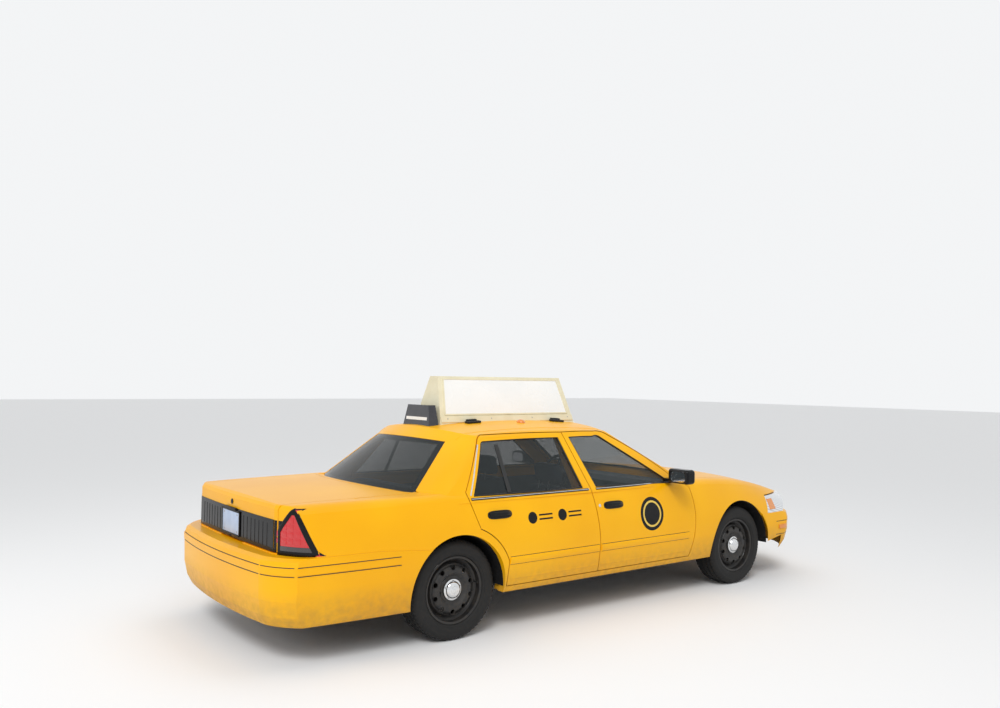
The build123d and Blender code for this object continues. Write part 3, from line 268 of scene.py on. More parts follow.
def meshFrom(vertices, faces, name="part"):
    mesh = bpy.data.meshes.new(name)
    mesh.from_pydata([tuple(v) for v in vertices], [], faces)
    tidy = bmesh.new()
    tidy.from_mesh(mesh)
    bmesh.ops.remove_doubles(tidy, verts=tidy.verts, dist=1e-6)
    bmesh.ops.recalc_face_normals(tidy, faces=tidy.faces)
    tidy.to_mesh(mesh)
    tidy.free()
    return mesh


def joinMeshes(parts, name="part"):
    vertices, faces = [], []
    for partVertices, partFaces in parts:
        start = len(vertices)
        vertices += partVertices
        faces += [[i + start for i in face] for face in partFaces]
    return meshFrom(vertices, faces, name)


def surfaceTree(*names):
    vertices, polygons = [], []
    for name in names:
        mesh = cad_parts[name].data
        start = len(vertices)
        vertices += [v.co.copy() for v in mesh.vertices]
        polygons += [[i + start for i in p.vertices] for p in mesh.polygons]
    return BVHTree.FromPolygons(vertices, polygons)


def hitFrom(tree, start, direction, reach=3.0):
    place, normal, _, _ = tree.ray_cast(Vector(start), Vector(direction).normalized(), reach)
    if place is None:
        return None
    if normal.dot(Vector(direction)) > 0:
        normal = -normal
    return place, normal


def sideHit(tree, x, z, way):
    return hitFrom(tree, (x, way * 1.5, z), (0, -way, 0))


def onSide(tree, points, way, steps=0):
    # (x, z) points dropped on the car's side; steps adds points between them
    found = []
    for a, b in zip(points, points[1:] + points[-1:]):
        for k in range(max(steps, 1)):
            t = k / max(steps, 1)
            hit = sideHit(tree, a[0] + (b[0] - a[0]) * t, a[1] + (b[1] - a[1]) * t, way)
            if hit:
                found.append(hit)
            if a is b:
                break
    return found


def sweepProfile(places, profile, closed=False, caps=True):
    # places are (point, outward normal); profile is (across, outward) in metres, closed
    vertices, faces = [], []
    count, size = len(places), len(profile)
    for i, (point, normal) in enumerate(places):
        before = places[(i - 1) % count][0] if closed or i else point
        after = places[(i + 1) % count][0] if closed or i < count - 1 else point
        along = (after - before).normalized()
        across = along.cross(normal).normalized()
        outward = across.cross(along).normalized()
        vertices += [point + across * a + outward * b for a, b in profile]
    for i in range(count if closed else count - 1):
        j = (i + 1) % count
        for k in range(size):
            m = (k + 1) % size
            faces.append([i * size + k, j * size + k, j * size + m, i * size + m])
    if caps and not closed:
        faces.append(list(range(size)))
        faces.append([(count - 1) * size + k for k in reversed(range(size))])
    return vertices, faces


def band(half, top, height, foot):
    # a low flat-topped section for strips: half widths at the foot and the top, then the two heights
    return [(-half, foot), (-top, height), (top, height), (half, foot)]


def addStrip(name, path, profile, material, body, closed=False):
    return addPiece(name, meshFrom(*sweepProfile(path, profile, closed=closed)), material, body)


def turnProfile(profile, centre, axis, segments=48, closed=True):
    # profile is (distance along axis, radius)
    axis = Vector(axis).normalized()
    side = axis.orthogonal().normalized()
    other = axis.cross(side)
    centre = Vector(centre)
    vertices, faces = [], []
    size = len(profile)
    for i in range(segments):
        angle = 2 * math.pi * i / segments
        radial = side * math.cos(angle) + other * math.sin(angle)
        vertices += [centre + axis * a + radial * r for a, r in profile]
    for i in range(segments):
        j = (i + 1) % segments
        for k in range(size if closed else size - 1):
            m = (k + 1) % size
            faces.append([i * size + k, j * size + k, j * size + m, i * size + m])
    return vertices, faces


def roundBlock(centre, size, bevel=0.004, turn=None, segments=2):
    shape = bmesh.new()
    bmesh.ops.create_cube(shape, size=1.0)
    bmesh.ops.scale(shape, vec=size, verts=shape.verts)
    bmesh.ops.bevel(shape, geom=shape.edges[:], offset=bevel, segments=segments, affect="EDGES",
        profile=0.6)
    if turn is not None:
        bmesh.ops.transform(shape, matrix=turn.to_4x4(), verts=shape.verts)
    shape.verts.index_update()
    vertices = [v.co + Vector(centre) for v in shape.verts]
    faces = [[v.index for v in f.verts] for f in shape.faces]
    shape.free()
    return vertices, faces


def facing(normal, up=(0, 0, 1)):
    # turn whose Z looks along the normal and Y up
    z = Vector(normal).normalized()
    x = Vector(up).cross(z).normalized()
    y = z.cross(x)
    return Matrix((x, y, z)).transposed()


def outlineDisc(tree, x, z, radius, way, thick, rings=6, segments=48, lift=0.0002):
    # a thin disc that follows the car's side
    vertices, faces = [], []
    for r in range(rings + 1):
        for s in range(segments):
            angle = 2 * math.pi * s / segments
            reach = radius * r / rings
            hit = sideHit(tree, x + reach * math.cos(angle), z + reach * math.sin(angle), way)
            vertices.append(hit[0] + hit[1] * (lift + thick))
    for r in range(rings):
        for s in range(segments):
            t = (s + 1) % segments
            faces.append([r * segments + s, (r + 1) * segments + s, (r + 1) * segments + t,
                r * segments + t])
    start = len(vertices)
    for s in range(segments):
        angle = 2 * math.pi * s / segments
        hit = sideHit(tree, x + radius * math.cos(angle), z + radius * math.sin(angle), way)
        vertices.append(hit[0] + hit[1] * lift)
    for s in range(segments):
        t = (s + 1) % segments
        faces.append([rings * segments + s, start + s, start + t, rings * segments + t])
    return vertices, faces


def bowedLine(points, steps=8):
    # closed outline of (x, z[, bow]) points, as in the panel cuts
    out = []
    for a, b in zip(points, points[1:] + points[:1]):
        dx, dz = b[0] - a[0], b[1] - a[1]
        run = math.hypot(dx, dz)
        bow = a[2] if len(a) > 2 else 0.0
        for k in range(steps):
            t = k / steps
            push = bow * 4 * t * (1 - t)
            out.append((a[0] + dx * t + push * dz / run, a[1] + dz * t - push * dx / run))
    return out


# tyres
tyreLook = {"radius": 0.345, "blocks": 64}
tyreProfile = [
    (0.0790, 0.2265), (0.0850, 0.2345), (0.0980, 0.2370), (0.1040, 0.2420), (0.1085, 0.2500),
    (0.1090, 0.2515), (0.1120, 0.2530), (0.1140, 0.2620), (0.1148, 0.2760), (0.1140, 0.2900),
    (0.1125, 0.3010), (0.1130, 0.3025), (0.1105, 0.3120), (0.1085, 0.3180),
]
treadColumns = [  # across, drop from the full radius, drop inside a sipe
    (0.1040, 0.0190, 0.0230), (0.0985, 0.0110, 0.0170), (0.0900, 0.0045, 0.0100),
    (0.0760, 0.0015, 0.0070), (0.0755, 0.0085, 0.0085), (0.0665, 0.0085, 0.0085),
    (0.0660, 0.0006, 0.0050), (0.0300, 0.0000, 0.0050), (0.0295, 0.0075, 0.0075),
    (0.0205, 0.0075, 0.0075), (0.0200, 0.0000, 0.0030), (0.0000, 0.0000, 0.0000),
]


def makeTyre(node, centre, way, body):
    radius = tyreLook["radius"] - 0.0004
    half = [(a, b, b) for a, b in tyreProfile] + [(a, radius - d, radius - e) for a, d, e in treadColumns]
    whole = half + [(-a, b, c) for a, b, c in reversed(half[:-1])]
    segments = tyreLook["blocks"] * 3
    vertices, faces = [], []
    size = len(whole)
    for i in range(segments):
        for k, (across, full, cut) in enumerate(whole):
            # sipes lean with the side of the tread
            lag = int(abs(across) * 40)
            r = cut if (i + lag) % 3 == 0 else full
            angle = 2 * math.pi * i / segments
            vertices.append(Vector((centre[0] + r * math.cos(angle), centre[1] + way * across,
                centre[2] + r * math.sin(angle))))
    for i in range(segments):
        j = (i + 1) % segments
        for k in range(size):
            m = (k + 1) % size
            faces.append([i * size + k, j * size + k, j * size + m, i * size + m])
    tyre = addPiece("road_" + node, meshFrom(vertices, faces), tyreRubber, body)
    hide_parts(node)
    return tyre


wheelLook = {"nuts": 5, "nutCircle": 0.0572, "vents": 10, "ventCircle": 0.152}


def makeWheelTrim(centre, way, body, name):
    out = Vector((0, way, 0))
    c = Vector(centre)
    parts = []
    for n in range(wheelLook["nuts"]):
        angle = 2 * math.pi * n / wheelLook["nuts"] + 0.3
        spot = c + Vector((math.cos(angle), 0, math.sin(angle))) * wheelLook["nutCircle"]
        parts.append(turnProfile([(0.056, 0.0), (0.056, 0.0125), (0.070, 0.0115), (0.082, 0.0105),
            (0.086, 0.007), (0.087, 0.0)], spot, out, 6))
    nuts = addPiece(name + "_nuts", joinMeshes(parts), steelBright, body)
    cap = turnProfile([
        (0.062, 0.070), (0.070, 0.0735), (0.076, 0.0725), (0.078, 0.068), (0.080, 0.060), (0.090, 0.056),
        (0.098, 0.046),
        (0.1015, 0.036), (0.1025, 0.030), (0.1005, 0.027), (0.1045, 0.014), (0.1060, 0.0), (0.062, 0.0)],
        c, out, 48)
    addPiece(name + "_cap", joinMeshes([cap]), chromeTrim, body)
    stem = c + Vector((0.196, 0, 0.03))
    valve = turnProfile([(0.050, 0.0), (0.050, 0.006), (0.058, 0.005), (0.084, 0.0035), (0.086, 0.0042),
        (0.094, 0.0042), (0.095, 0.0)], stem, out, 12)
    weight = roundBlock(c + Vector((-0.15, way * 0.0905, 0.176)), (0.045, 0.006, 0.010), 0.002,
        Matrix.Rotation(math.radians(-40), 3, "Y"))
    addPiece(name + "_valve", joinMeshes([valve]), blackPlastic, body)
    addPiece(name + "_weight", joinMeshes([weight]), steelBright, body)
    # raised ring pressed round the vents, and a lip round the bead seat
    ring = turnProfile([(0.0785, 0.176), (0.0825, 0.1735), (0.0785, 0.171), (0.074, 0.1735)], c, out, 72)
    lip = turnProfile([(0.0875, 0.2325), (0.0925, 0.2335), (0.0955, 0.2315), (0.0945, 0.2275),
        (0.090, 0.2265)], c, out, 96)
    addPiece(name + "_rings", joinMeshes([ring, lip]), wheelSteel, body)
    hubs = []
    for n in range(wheelLook["vents"]):
        angle = math.radians(36 * n)
        spot = c + Vector((math.sin(angle), 0, math.cos(angle))) * wheelLook["ventCircle"]
        hubs.append(turnProfile([(0.073, 0.0172), (0.0795, 0.0185), (0.0800, 0.0205), (0.0760, 0.0222),
            (0.0715, 0.0200)], spot, out, 20))
    addPiece(name + "_vent_lips", joinMeshes(hubs), wheelSteel, body)
    return nuts


for end, x, track in (("front", car["frontAxleX"], car["frontTrack"]),
        ("rear", car["rearAxleX"], car["rearTrack"])):
    for hand, way in (("right", -1), ("left", 1)):
        centre = (x, way * track, car["axleZ"])
        makeTyre(f"tyre_{end}_{hand}", centre, way, f"wheel_{end}_{hand}")
        makeWheelTrim(centre, way, f"wheel_{end}_{hand}", f"wheel_{end}_{hand}")
print("wheels dressed")


# doors: seals, mouldings, handles, mirrors, cards
doorLook = {
    "sealWidth": 0.011, "beltHeight": 0.018, "mouldingZ": 0.515, "mouldingHeight": 0.052,
    "mouldingProud": 0.007, "handleLength": 0.205, "handleHeight": 0.052, "roundelX": 0.515,
    "roundelZ": 0.729, "roundelRadius": 0.134, "markRadius": 0.042,
}
bCutX = -0.0925
windows = {
    "front": [(bCutX + 0.032, 0.974, 0.004), (0.7915, 0.960), (0.7755, 0.996), (0.2235, 1.339, 0.014),
        (0.1215, 1.357, 0.002), (bCutX - 0.060, 1.357)],
    "rear": [(-1.2355, 0.978, 0.004), (bCutX - 0.102, 0.974), (bCutX - 0.170, 1.357, 0.005),
        (-0.9875, 1.347, 0.010), (-1.0305, 1.317, -0.005)],
}
divisionBar = [(-0.880, 1.352), (-0.906, 0.985)]


def dressDoor(end, hand, way):
    body = f"{end}_door_{hand}"
    skinTree = surfaceTree(f"{end}_door_{hand}")
    paneTree = surfaceTree(f"{end}_door_glass_{hand}")
    outline = bowedLine(windows[end], 10)
    # rubber round the pane, lying in the step between glass and frame
    ring = []
    middle = (sum(p[0] for p in outline) / len(outline), sum(p[1] for p in outline) / len(outline))
    for x, z in outline:
        inward = Vector((middle[0] - x, middle[1] - z)).normalized() * 0.006
        hit = sideHit(paneTree, x + inward.x, z + inward.y, way)
        if hit:
            ring.append((hit[0], hit[1]))
    w, h = doorLook["sealWidth"], 0.0085
    profile = [(-w / 2, 0.0), (-w / 2, h * 0.7), (-w / 4, h), (w / 4, h), (w / 2, h * 0.7), (w / 2, 0.0)]
    addStrip(body + "_window_seal", ring, profile, sealRubber, body, closed=True)
    # belt moulding under the window
    x0, x1 = (-1.262, -0.118) if end == "rear" else (-0.068, 0.842)
    belt = onSide(skinTree, [(x0 + (x1 - x0) * k / 30, 0.963) for k in range(31)], way)
    t = doorLook["beltHeight"] / 2
    beltProfile = [(-t, -0.001), (-t, 0.003), (-t * 0.4, 0.0055), (t * 0.5, 0.0055), (t, 0.003),
        (t, -0.001)]
    addStrip(body + "_belt_moulding", belt, beltProfile, sealRubber, body)
    brightProfile = band(0.002, 0.002, 0.0068, 0.0045)
    addStrip(body + "_belt_bright", belt, brightProfile, chromeTrim, body)
    # broad side moulding with a bevelled top and a dark foot
    x0, x1 = (-0.962, -0.084) if end == "rear" else (-0.060, 0.962)
    run = onSide(skinTree, [(x0 + (x1 - x0) * k / 26, doorLook["mouldingZ"]) for k in range(27)], way)
    m = doorLook["mouldingHeight"] / 2
    p = doorLook["mouldingProud"]
    sideProfile = [(-m, -0.0012), (-m, p * 0.5), (-m + 0.006, p), (m - 0.006, p), (m, p * 0.5),
        (m, -0.0012)]
    addStrip(body + "_side_moulding", run, sideProfile, taxiPaint, body)
    for drop in (m + 0.0015, -m - 0.0015):
        lineProfile = [(-0.0018 + drop, -0.001), (-0.0018 + drop, 0.0006), (0.0018 + drop, 0.0006),
            (0.0018 + drop, -0.001)]
        addStrip(f"{body}_moulding_line_{'a' if drop > 0 else 'b'}", run, lineProfile, sealRubber, body)
    # crease low on the door
    low = onSide(skinTree, [(x0 + 0.012 + (x1 - x0 - 0.024) * k / 26, 0.385) for k in range(27)], way)
    creaseProfile = [(-0.012, -0.001), (0.0, 0.0022), (0.004, 0.0022), (0.012, -0.001)]
    addStrip(body + "_crease", low, creaseProfile, taxiPaint, body)
    # handle: a dark escutcheon and the pull over it
    hx, hz = (-1.040, 0.846) if end == "rear" else (0.090, 0.832)
    spot, normal = sideHit(skinTree, hx, hz, way)
    length, height = doorLook["handleLength"], doorLook["handleHeight"]
    escutcheon = []
    for k in range(40):
        angle = 2 * math.pi * k / 40
        sx = abs(math.cos(angle)) ** 0.55 * math.copysign(1, math.cos(angle))
        sz = abs(math.sin(angle)) ** 0.65 * math.copysign(1, math.sin(angle))
        hit = sideHit(skinTree, hx + length / 2 * sx, hz + height / 2 * sz, way)
        escutcheon.append(hit)
    plate = sweepProfile(escutcheon, band(0.004, 0.003, 0.0045, -0.001), closed=True)
    fillVertices = [h[0] + h[1] * 0.0008 for h in escutcheon] + [spot + normal * 0.0005]
    fillFaces = [[k, (k + 1) % 40, 40] for k in range(40)]
    addPiece(body + "_handle_plate", joinMeshes([plate, (fillVertices, fillFaces)]), blackPlastic, body)
    pull = []
    for k in range(17):
        t = k / 16 - 0.5
        stand = 0.006 + 0.016 * (1 - (2 * t) ** 4)
        hit = sideHit(skinTree, hx + t * (length - 0.026), hz + 0.002, way)
        pull.append((hit[0] + hit[1] * stand, hit[1]))
    grip = [(-0.013, -0.003), (-0.014, 0.001), (-0.009, 0.005), (0.009, 0.005), (0.014, 0.001),
        (0.013, -0.003)]
    addStrip(body + "_handle_pull", pull, grip, glossBlack, body)
    if end == "front":
        lockSpot, lockNormal = sideHit(skinTree, hx - 0.150, hz + 0.004, way)
        lock = turnProfile([(-0.001, 0.0), (-0.001, 0.0125), (0.003, 0.0125), (0.0045, 0.0105),
            (0.0045, 0.004), (0.0030, 0.0035), (0.0030, 0.0)], lockSpot, lockNormal, 28)
        addPiece(body + "_lock", joinMeshes([lock]), chromeTrim, body)
    return skinTree, paneTree


skinTrees = {}
for end in ("front", "rear"):
    for hand, way in (("right", -1), ("left", 1)):
        skinTrees[end, hand] = dressDoor(end, hand, way)
print("door trim done")

# plain roundels where the livery has its marks
for hand, way in (("right", -1), ("left", 1)):
    tree = skinTrees["front", hand][0]
    body = "front_door_" + hand
    midX, midZ = doorLook["roundelX"], doorLook["roundelZ"]
    disc = outlineDisc(tree, midX, midZ, doorLook["roundelRadius"], way, 0.0006)
    addPiece(body + "_roundel", meshFrom(*disc), glossBlack, body)
    ring = []
    for k in range(72):
        angle = 2 * math.pi * k / 72
        hit = sideHit(tree, midX + 0.098 * math.cos(angle), midZ + 0.098 * math.sin(angle), way)
        ring.append((hit[0] + hit[1] * 0.0008, hit[1]))
    addStrip(body + "_roundel_ring", ring, band(0.008, 0.008, 0.0005, 0), paleRing, body,
        closed=True)
    tree = skinTrees["rear", hand][0]
    body = "rear_door_" + hand
    for n, x in enumerate((-0.745, -0.455)):
        disc = outlineDisc(tree, x, 0.800, doorLook["markRadius"], way, 0.0006, 4, 36)
        addPiece(f"{body}_mark_{n}", meshFrom(*disc), glossBlack, body)
        for row in range(2):
            bar = onSide(tree, [(x + 0.062 + 0.13 * k / 8, 0.815 - row * 0.030) for k in range(9)], way)
            addStrip(f"{body}_bar_{n}_{row}", bar, band(0.006, 0.006, 0.0006, 0), glossBlack, body)

# division bar of the rear doors' windows, with its seal
for hand, way in (("right", -1), ("left", 1)):
    pane = skinTrees["rear", hand][1]
    (x0, z0), (x1, z1) = divisionBar
    line = onSide(pane, [(x0 + (x1 - x0) * k / 10, z0 + (z1 - z0) * k / 10) for k in range(11)], way)
    barProfile = [(-0.016, 0.0), (-0.016, 0.006), (-0.011, 0.0085), (0.011, 0.0085), (0.016, 0.006),
        (0.016, 0.0)]
    addStrip(f"rear_door_{hand}_division", line, barProfile, sealRubber, "rear_door_" + hand)
    # bright strip along the rear edge of the window
    skin = skinTrees["rear", hand][0]
    edge = [(-1.040, 1.322), (-1.100, 1.220), (-1.170, 1.100), (-1.243, 0.986)]
    strip = onSide(skin, [(x - 0.014, z) for x, z in edge], way, 6)
    addStrip(f"rear_door_{hand}_window_bright", strip, band(0.006, 0.005, 0.003, -0.001), chromeTrim,
        "rear_door_" + hand)

# door mirrors: silvered glass in the housing's rear face, and the turning seam
for hand, way in (("right", -1), ("left", 1)):
    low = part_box("mirror_" + hand)[0]
    body = "front_door_" + hand
    midY = way * 1.055
    shape = []
    for k in range(44):
        angle = 2 * math.pi * k / 44
        sy = abs(math.cos(angle)) ** 0.5 * math.copysign(1, math.cos(angle)) * 0.080
        sz = abs(math.sin(angle)) ** 0.5 * math.copysign(1, math.sin(angle)) * 0.044
        shape.append((sy, sz))
    x = low[0] - 0.0015
    zMid = 1.025
    vertices = [Vector((x - 0.0012, midY + sy * 0.97, zMid + sz * 0.97)) for sy, sz in shape]
    vertices += [Vector((x + 0.004, midY + sy, zMid + sz)) for sy, sz in shape]
    faces = [list(range(44))] + [[k, (k + 1) % 44, 44 + (k + 1) % 44, 44 + k] for k in range(44)]
    faces.append([44 + k for k in reversed(range(44))])
    addPiece(body + "_mirror_glass", meshFrom(vertices, faces), silverReflector, body)
    rim = [(Vector((x + 0.001, midY + sy * 1.06, zMid + sz * 1.10)), Vector((-1, 0, 0)))
        for sy, sz in shape]
    addStrip(body + "_mirror_rim", rim, band(0.004, 0.003, 0.003, -0.002), blackPlastic, body,
        closed=True)
print("marks, bars and mirrors done")


# tail: lamps, panel, plate, bumper lines
tailLook = {"plateWidth": 0.300, "plateHeight": 0.150, "plateZ": 0.806, "borderOver": 0.012,
    "lockZ": 0.944}


def rearHit(tree, y, z):
    return hitFrom(tree, (-3.2, y, z), (1, 0, 0))


lampTree = surfaceTree("tail_lamps")
quarterTree = surfaceTree("side_frames", "tail_lamps")
lampOutline = [(0.7035, 0.6985), (0.7035, 0.8395), (0.800, 0.983), (0.819, 0.980), (0.932, 0.6985)]


def lampEdge(way, shrink=0.0):
    # the lamp's outline walked on its own skin, seen from behind
    middle = (0.780, 0.800)
    out = []
    for a, b in zip(lampOutline, lampOutline[1:] + lampOutline[:1]):
        for k in range(9):
            y, z = a[0] + (b[0] - a[0]) * k / 9, a[1] + (b[1] - a[1]) * k / 9
            y += (middle[0] - y) * shrink
            z += (middle[1] - z) * shrink
            hit = rearHit(lampTree, way * y, z)
            if not hit:
                spot = lampTree.find_nearest(Vector((-2.58, way * y, z)))[0]
                hit = (spot, Vector((-0.88, way * 0.46, 0.12)))
            out.append(hit)
    return out


for hand, way in (("right", -1), ("left", 1)):
    # broad black surround, past the lamp's edge on the outside and wider at its corners
    rings = [lampEdge(way, share) for share in (0.01, 0.06, 0.12, 0.17, 0.20)]
    count = len(rings[0])
    outer = []
    for edge, inner in zip(rings[0], rings[1]):
        over = tailLook["borderOver"]
        spot = quarterTree.find_nearest(edge[0] + (edge[0] - inner[0]).normalized() * over)[0]
        outer.append((spot if (spot - edge[0]).length < 1.3 * over else edge[0], edge[1]))
    rings = [outer] + rings
    vertices = [hit[0] + hit[1] * 0.0020 for ring in rings for hit in ring]
    faces = []
    for r in range(len(rings) - 1):
        for k in range(count):
            step = (k + 1) % count
            faces.append([r * count + k, r * count + step, (r + 1) * count + step, (r + 1) * count + k])
    surround = addPiece(f"tail_lamp_border_{hand}", meshFrom(vertices, faces), glossBlack, "body")
    skin = surround.modifiers.new("skin", "SOLIDIFY")
    skin.thickness = 0.0022
    skin.offset = 0
    # smoked reversing lens along the foot of the lamp
    foot = []
    for k in range(15):
        hit = rearHit(lampTree, way * (0.668 + 0.244 * k / 14), 0.724)
        if hit:
            foot.append(hit)
    addStrip(f"reversing_lens_{hand}", foot, band(0.024, 0.023, 0.0024, -0.001), lampSmoke, "body")
    # inner reflector squares that show through the red lens
    cells = []
    for row in range(4):
        for column in range(4 - row // 2):
            y, z = 0.705 + column * 0.043, 0.780 + row * 0.043
            hit = rearHit(lampTree, way * y, z)
            if hit and abs(hit[1].x) > 0.35:
                cells.append(roundBlock(hit[0] + hit[1] * 0.0004, (0.034, 0.034, 0.0016), 0.0007,
                    facing(hit[1])))
    if cells:
        addPiece(f"tail_lamp_cells_{hand}", joinMeshes(cells), lampRed, "body")


def sheetOn(name, nodeName, body, way, low, high, edge):
    # a thin dark sheet on one panel's rear face, up to the lamp's edge
    tree = surfaceTree(nodeName)
    columns, rows = 14, 22
    vertices, index, faces = [], {}, []
    for i in range(columns + 1):
        for j in range(rows + 1):
            z = low[1] + (high[1] - low[1]) * j / rows
            y = min(low[0] + (high[0] - low[0]) * i / columns, edge(z))
            hit = rearHit(tree, way * y, z)
            if hit and hit[0].x < -2.45 and abs(hit[1].x) > 0.5:
                index[i, j] = len(vertices)
                vertices.append(hit[0] + hit[1] * 0.0012)
    for i in range(columns):
        for j in range(rows):
            corners = [(i, j), (i + 1, j), (i + 1, j + 1), (i, j + 1)]
            if all(c in index for c in corners):
                faces.append([index[c] for c in corners])
    if len(faces) < 4:
        return
    piece = addPiece(name, meshFrom(vertices, faces), glossBlack, body)
    skin = piece.modifiers.new("skin", "SOLIDIFY")
    skin.thickness = 0.0012
    skin.offset = -1


def lampInnerY(z):
    # inner edge of the lamp's outline at this height
    (y0, z0), (y1, z1) = lampOutline[1], lampOutline[2]
    return y0 + (y1 - y0) * max(z - z0, 0) / (z1 - z0) + 0.004


lidEdgeY = 0.6905  # just inside the lid's upright shut line
for hand, way in (("right", -1), ("left", 1)):
    sheetOn(f"dark_strip_trunk_lid_{hand}", "trunk_lid", "trunk_lid", way, (0.6640, lidEdgeY),
        (0.720, 0.902), lambda z: lidEdgeY)
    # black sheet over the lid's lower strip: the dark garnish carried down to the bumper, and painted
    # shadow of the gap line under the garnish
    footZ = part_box("trunk_lid")[0].z + 0.004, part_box("rear_garnish")[0].z - 0.0005
    sheetOn(f"dark_foot_and_painted_shadow_trunk_lid_{hand}", "trunk_lid", "trunk_lid", way, (0.0, lidEdgeY), footZ,
        lambda z: lidEdgeY)
    sheetOn(f"dark_strip_side_frames_{hand}", "side_frames", "body", way, (0.7015, 0.760), (0.846, 0.902),
        lampInnerY)

garnishTree = surfaceTree("rear_garnish")
spot, normal = rearHit(garnishTree, 0.0, tailLook["plateZ"])
turn = facing(normal)
pw, ph = tailLook["plateWidth"], tailLook["plateHeight"]
plate = roundBlock(spot + normal * 0.004, (pw, ph, 0.0022), 0.0009, turn)
addPiece("blank_plate", joinMeshes([plate]), plateBlank, "trunk_lid")
frameMid = spot + normal * 0.0045
frameBars = []
for s in (-1, 1):
    across = frameMid + Vector((0, s * (pw / 2 + 0.004), 0))
    frameBars.append(roundBlock(across, (0.012, ph + 0.020, 0.006), 0.002, turn))
for s in (-1, 1):
    along = frameMid + Vector((0, 0, s * (ph / 2 + 0.004)))
    frameBars.append(roundBlock(along, (pw + 0.020, 0.012, 0.006), 0.002, turn))
addPiece("plate_frame", joinMeshes(frameBars), blackPlastic, "trunk_lid")
boltProfile = [(0.0045, 0.0), (0.0045, 0.007), (0.0075, 0.006), (0.0085, 0.0)]
bolts = []
for sy in (-1, 1):
    for sz in (-1, 1):
        place = spot + Vector((0, sy * pw * 0.39, sz * ph * 0.38))
        bolts.append(turnProfile(boltProfile, place, normal, 6))
addPiece("plate_bolts", joinMeshes(bolts), steelBright, "trunk_lid")
hood = roundBlock(spot + normal * 0.008 + Vector((0, 0, ph / 2 + 0.020)), (0.20, 0.016, 0.016), 0.004,
    turn)
addPiece("plate_lamp", joinMeshes([hood]), blackPlastic, "trunk_lid")
# upright ribs beside the plate
ribs = []
for side in (-1, 1):
    for n in range(7):
        hit = rearHit(garnishTree, side * (0.215 + n * 0.060), 0.800)
        if hit:
            ribs.append(roundBlock(hit[0] + hit[1] * 0.0004, (0.004, 0.150, 0.0030), 0.0008,
                facing(hit[1])))
addPiece("rear_panel_ribs", joinMeshes(ribs), blackPlastic, "trunk_lid")
lidTree = surfaceTree("trunk_lid", "rear_garnish")
lockSpot, lockNormal = rearHit(lidTree, 0.0, tailLook["lockZ"])
lock = turnProfile([(-0.002, 0.0), (-0.002, 0.019), (0.003, 0.0185), (0.005, 0.016), (0.005, 0.008),
    (0.003, 0.007), (0.003, 0.0)], lockSpot, lockNormal, 32)
addPiece("lid_lock", joinMeshes([lock]), glossBlack, "trunk_lid")

bumperTree = surfaceTree("rear_bumper")
frontBumperTree = surfaceTree("front_bumper")


def wrapRound(tree, z, rear, reach, count=90):
    # walks round the end of the car at one height, from side to side
    out = []
    for k in range(count + 1):
        angle = math.pi * (k / count - 0.5) * 0.985
        facingWay = -1 if rear else 1
        away = Vector((facingWay * math.cos(angle), -facingWay * math.sin(angle), 0))
        core = Vector((facingWay * 2.20, -facingWay * math.sin(angle) * 0.55, z))
        hit = hitFrom(tree, core + away * 2.2, -away)
        if hit and (hit[0].x < reach if rear else hit[0].x > reach):
            out.append(hit)
    return out


def alongBumper(tree, z):
    # the walk round the rear, carried on along both sides nearly to the wheel arches
    middle = wrapRound(tree, z, True, -1.80)
    ends = []
    for way in (math.copysign(1, middle[0][0].y), math.copysign(1, middle[-1][0].y)):
        stretch = [sideHit(tree, -2.16 + 0.03 * k, z, way) for k in range(11)]
        ends.append([hit for hit in stretch if hit])
    return ends[0][::-1] + middle + ends[1]


for n, (z, half) in enumerate(((0.640, 0.0026), (0.586, 0.0026))):
    line = alongBumper(bumperTree, z)
    addStrip(f"rear_bumper_line_{n}", line, band(half, half, 0.0007, -0.001), sealRubber, "body")
bead = alongBumper(bumperTree, 0.613)
addStrip("rear_bumper_rub", bead, band(0.023, 0.020, 0.0035, -0.0015), taxiPaint, "body")
for n, z in enumerate((0.520, 0.400)):
    line = wrapRound(frontBumperTree, z, False, 2.08)
    addStrip(f"front_bumper_line_{n}", line, band(0.0028, 0.0028, 0.0007, -0.001), sealRubber, "body")
for hand, way in (("right", -1), ("left", 1)):
    hit = sideHit(frontBumperTree, 2.30, 0.470, way)
    if hit:
        lens = roundBlock(hit[0] + hit[1] * 0.004, (0.115, 0.036, 0.008), 0.0025, facing(hit[1]))
        addPiece(f"front_side_marker_{hand}", joinMeshes([lens]), lampAmber, "body")
print("tail and bumpers dressed")

# nose: lamps and wipers
lampTree = surfaceTree("headlamps")
noseLook = {"lampZ": 0.682}
for hand, way in (("right", -1), ("left", 1)):
    amber = []
    for k in range(9):
        hit = hitFrom(lampTree, (2.14 + 0.012 * k, way * 1.6, 0.680), (0, -way, 0))
        if hit:
            amber.append(hit)
    if len(amber) > 3:
        addStrip(f"turn_lens_{hand}", amber, band(0.052, 0.050, 0.0022, -0.001), lampAmber, "body")
    for n, y in enumerate((0.560, 0.690)):
        hit = hitFrom(lampTree, (3.2, way * y, noseLook["lampZ"]), (-1, 0, 0))
        if hit:
            bowl = turnProfile([(0.0006, 0.056), (0.0030, 0.0555), (0.0030, 0.047), (0.0012, 0.044),
                (0.0012, 0.020), (0.0045, 0.014), (0.0055, 0.0), (0.0004, 0.0)], hit[0], hit[1], 40)
            addPiece(f"headlamp_bowl_{hand}_{n}", joinMeshes([bowl]), silverReflector, "body")

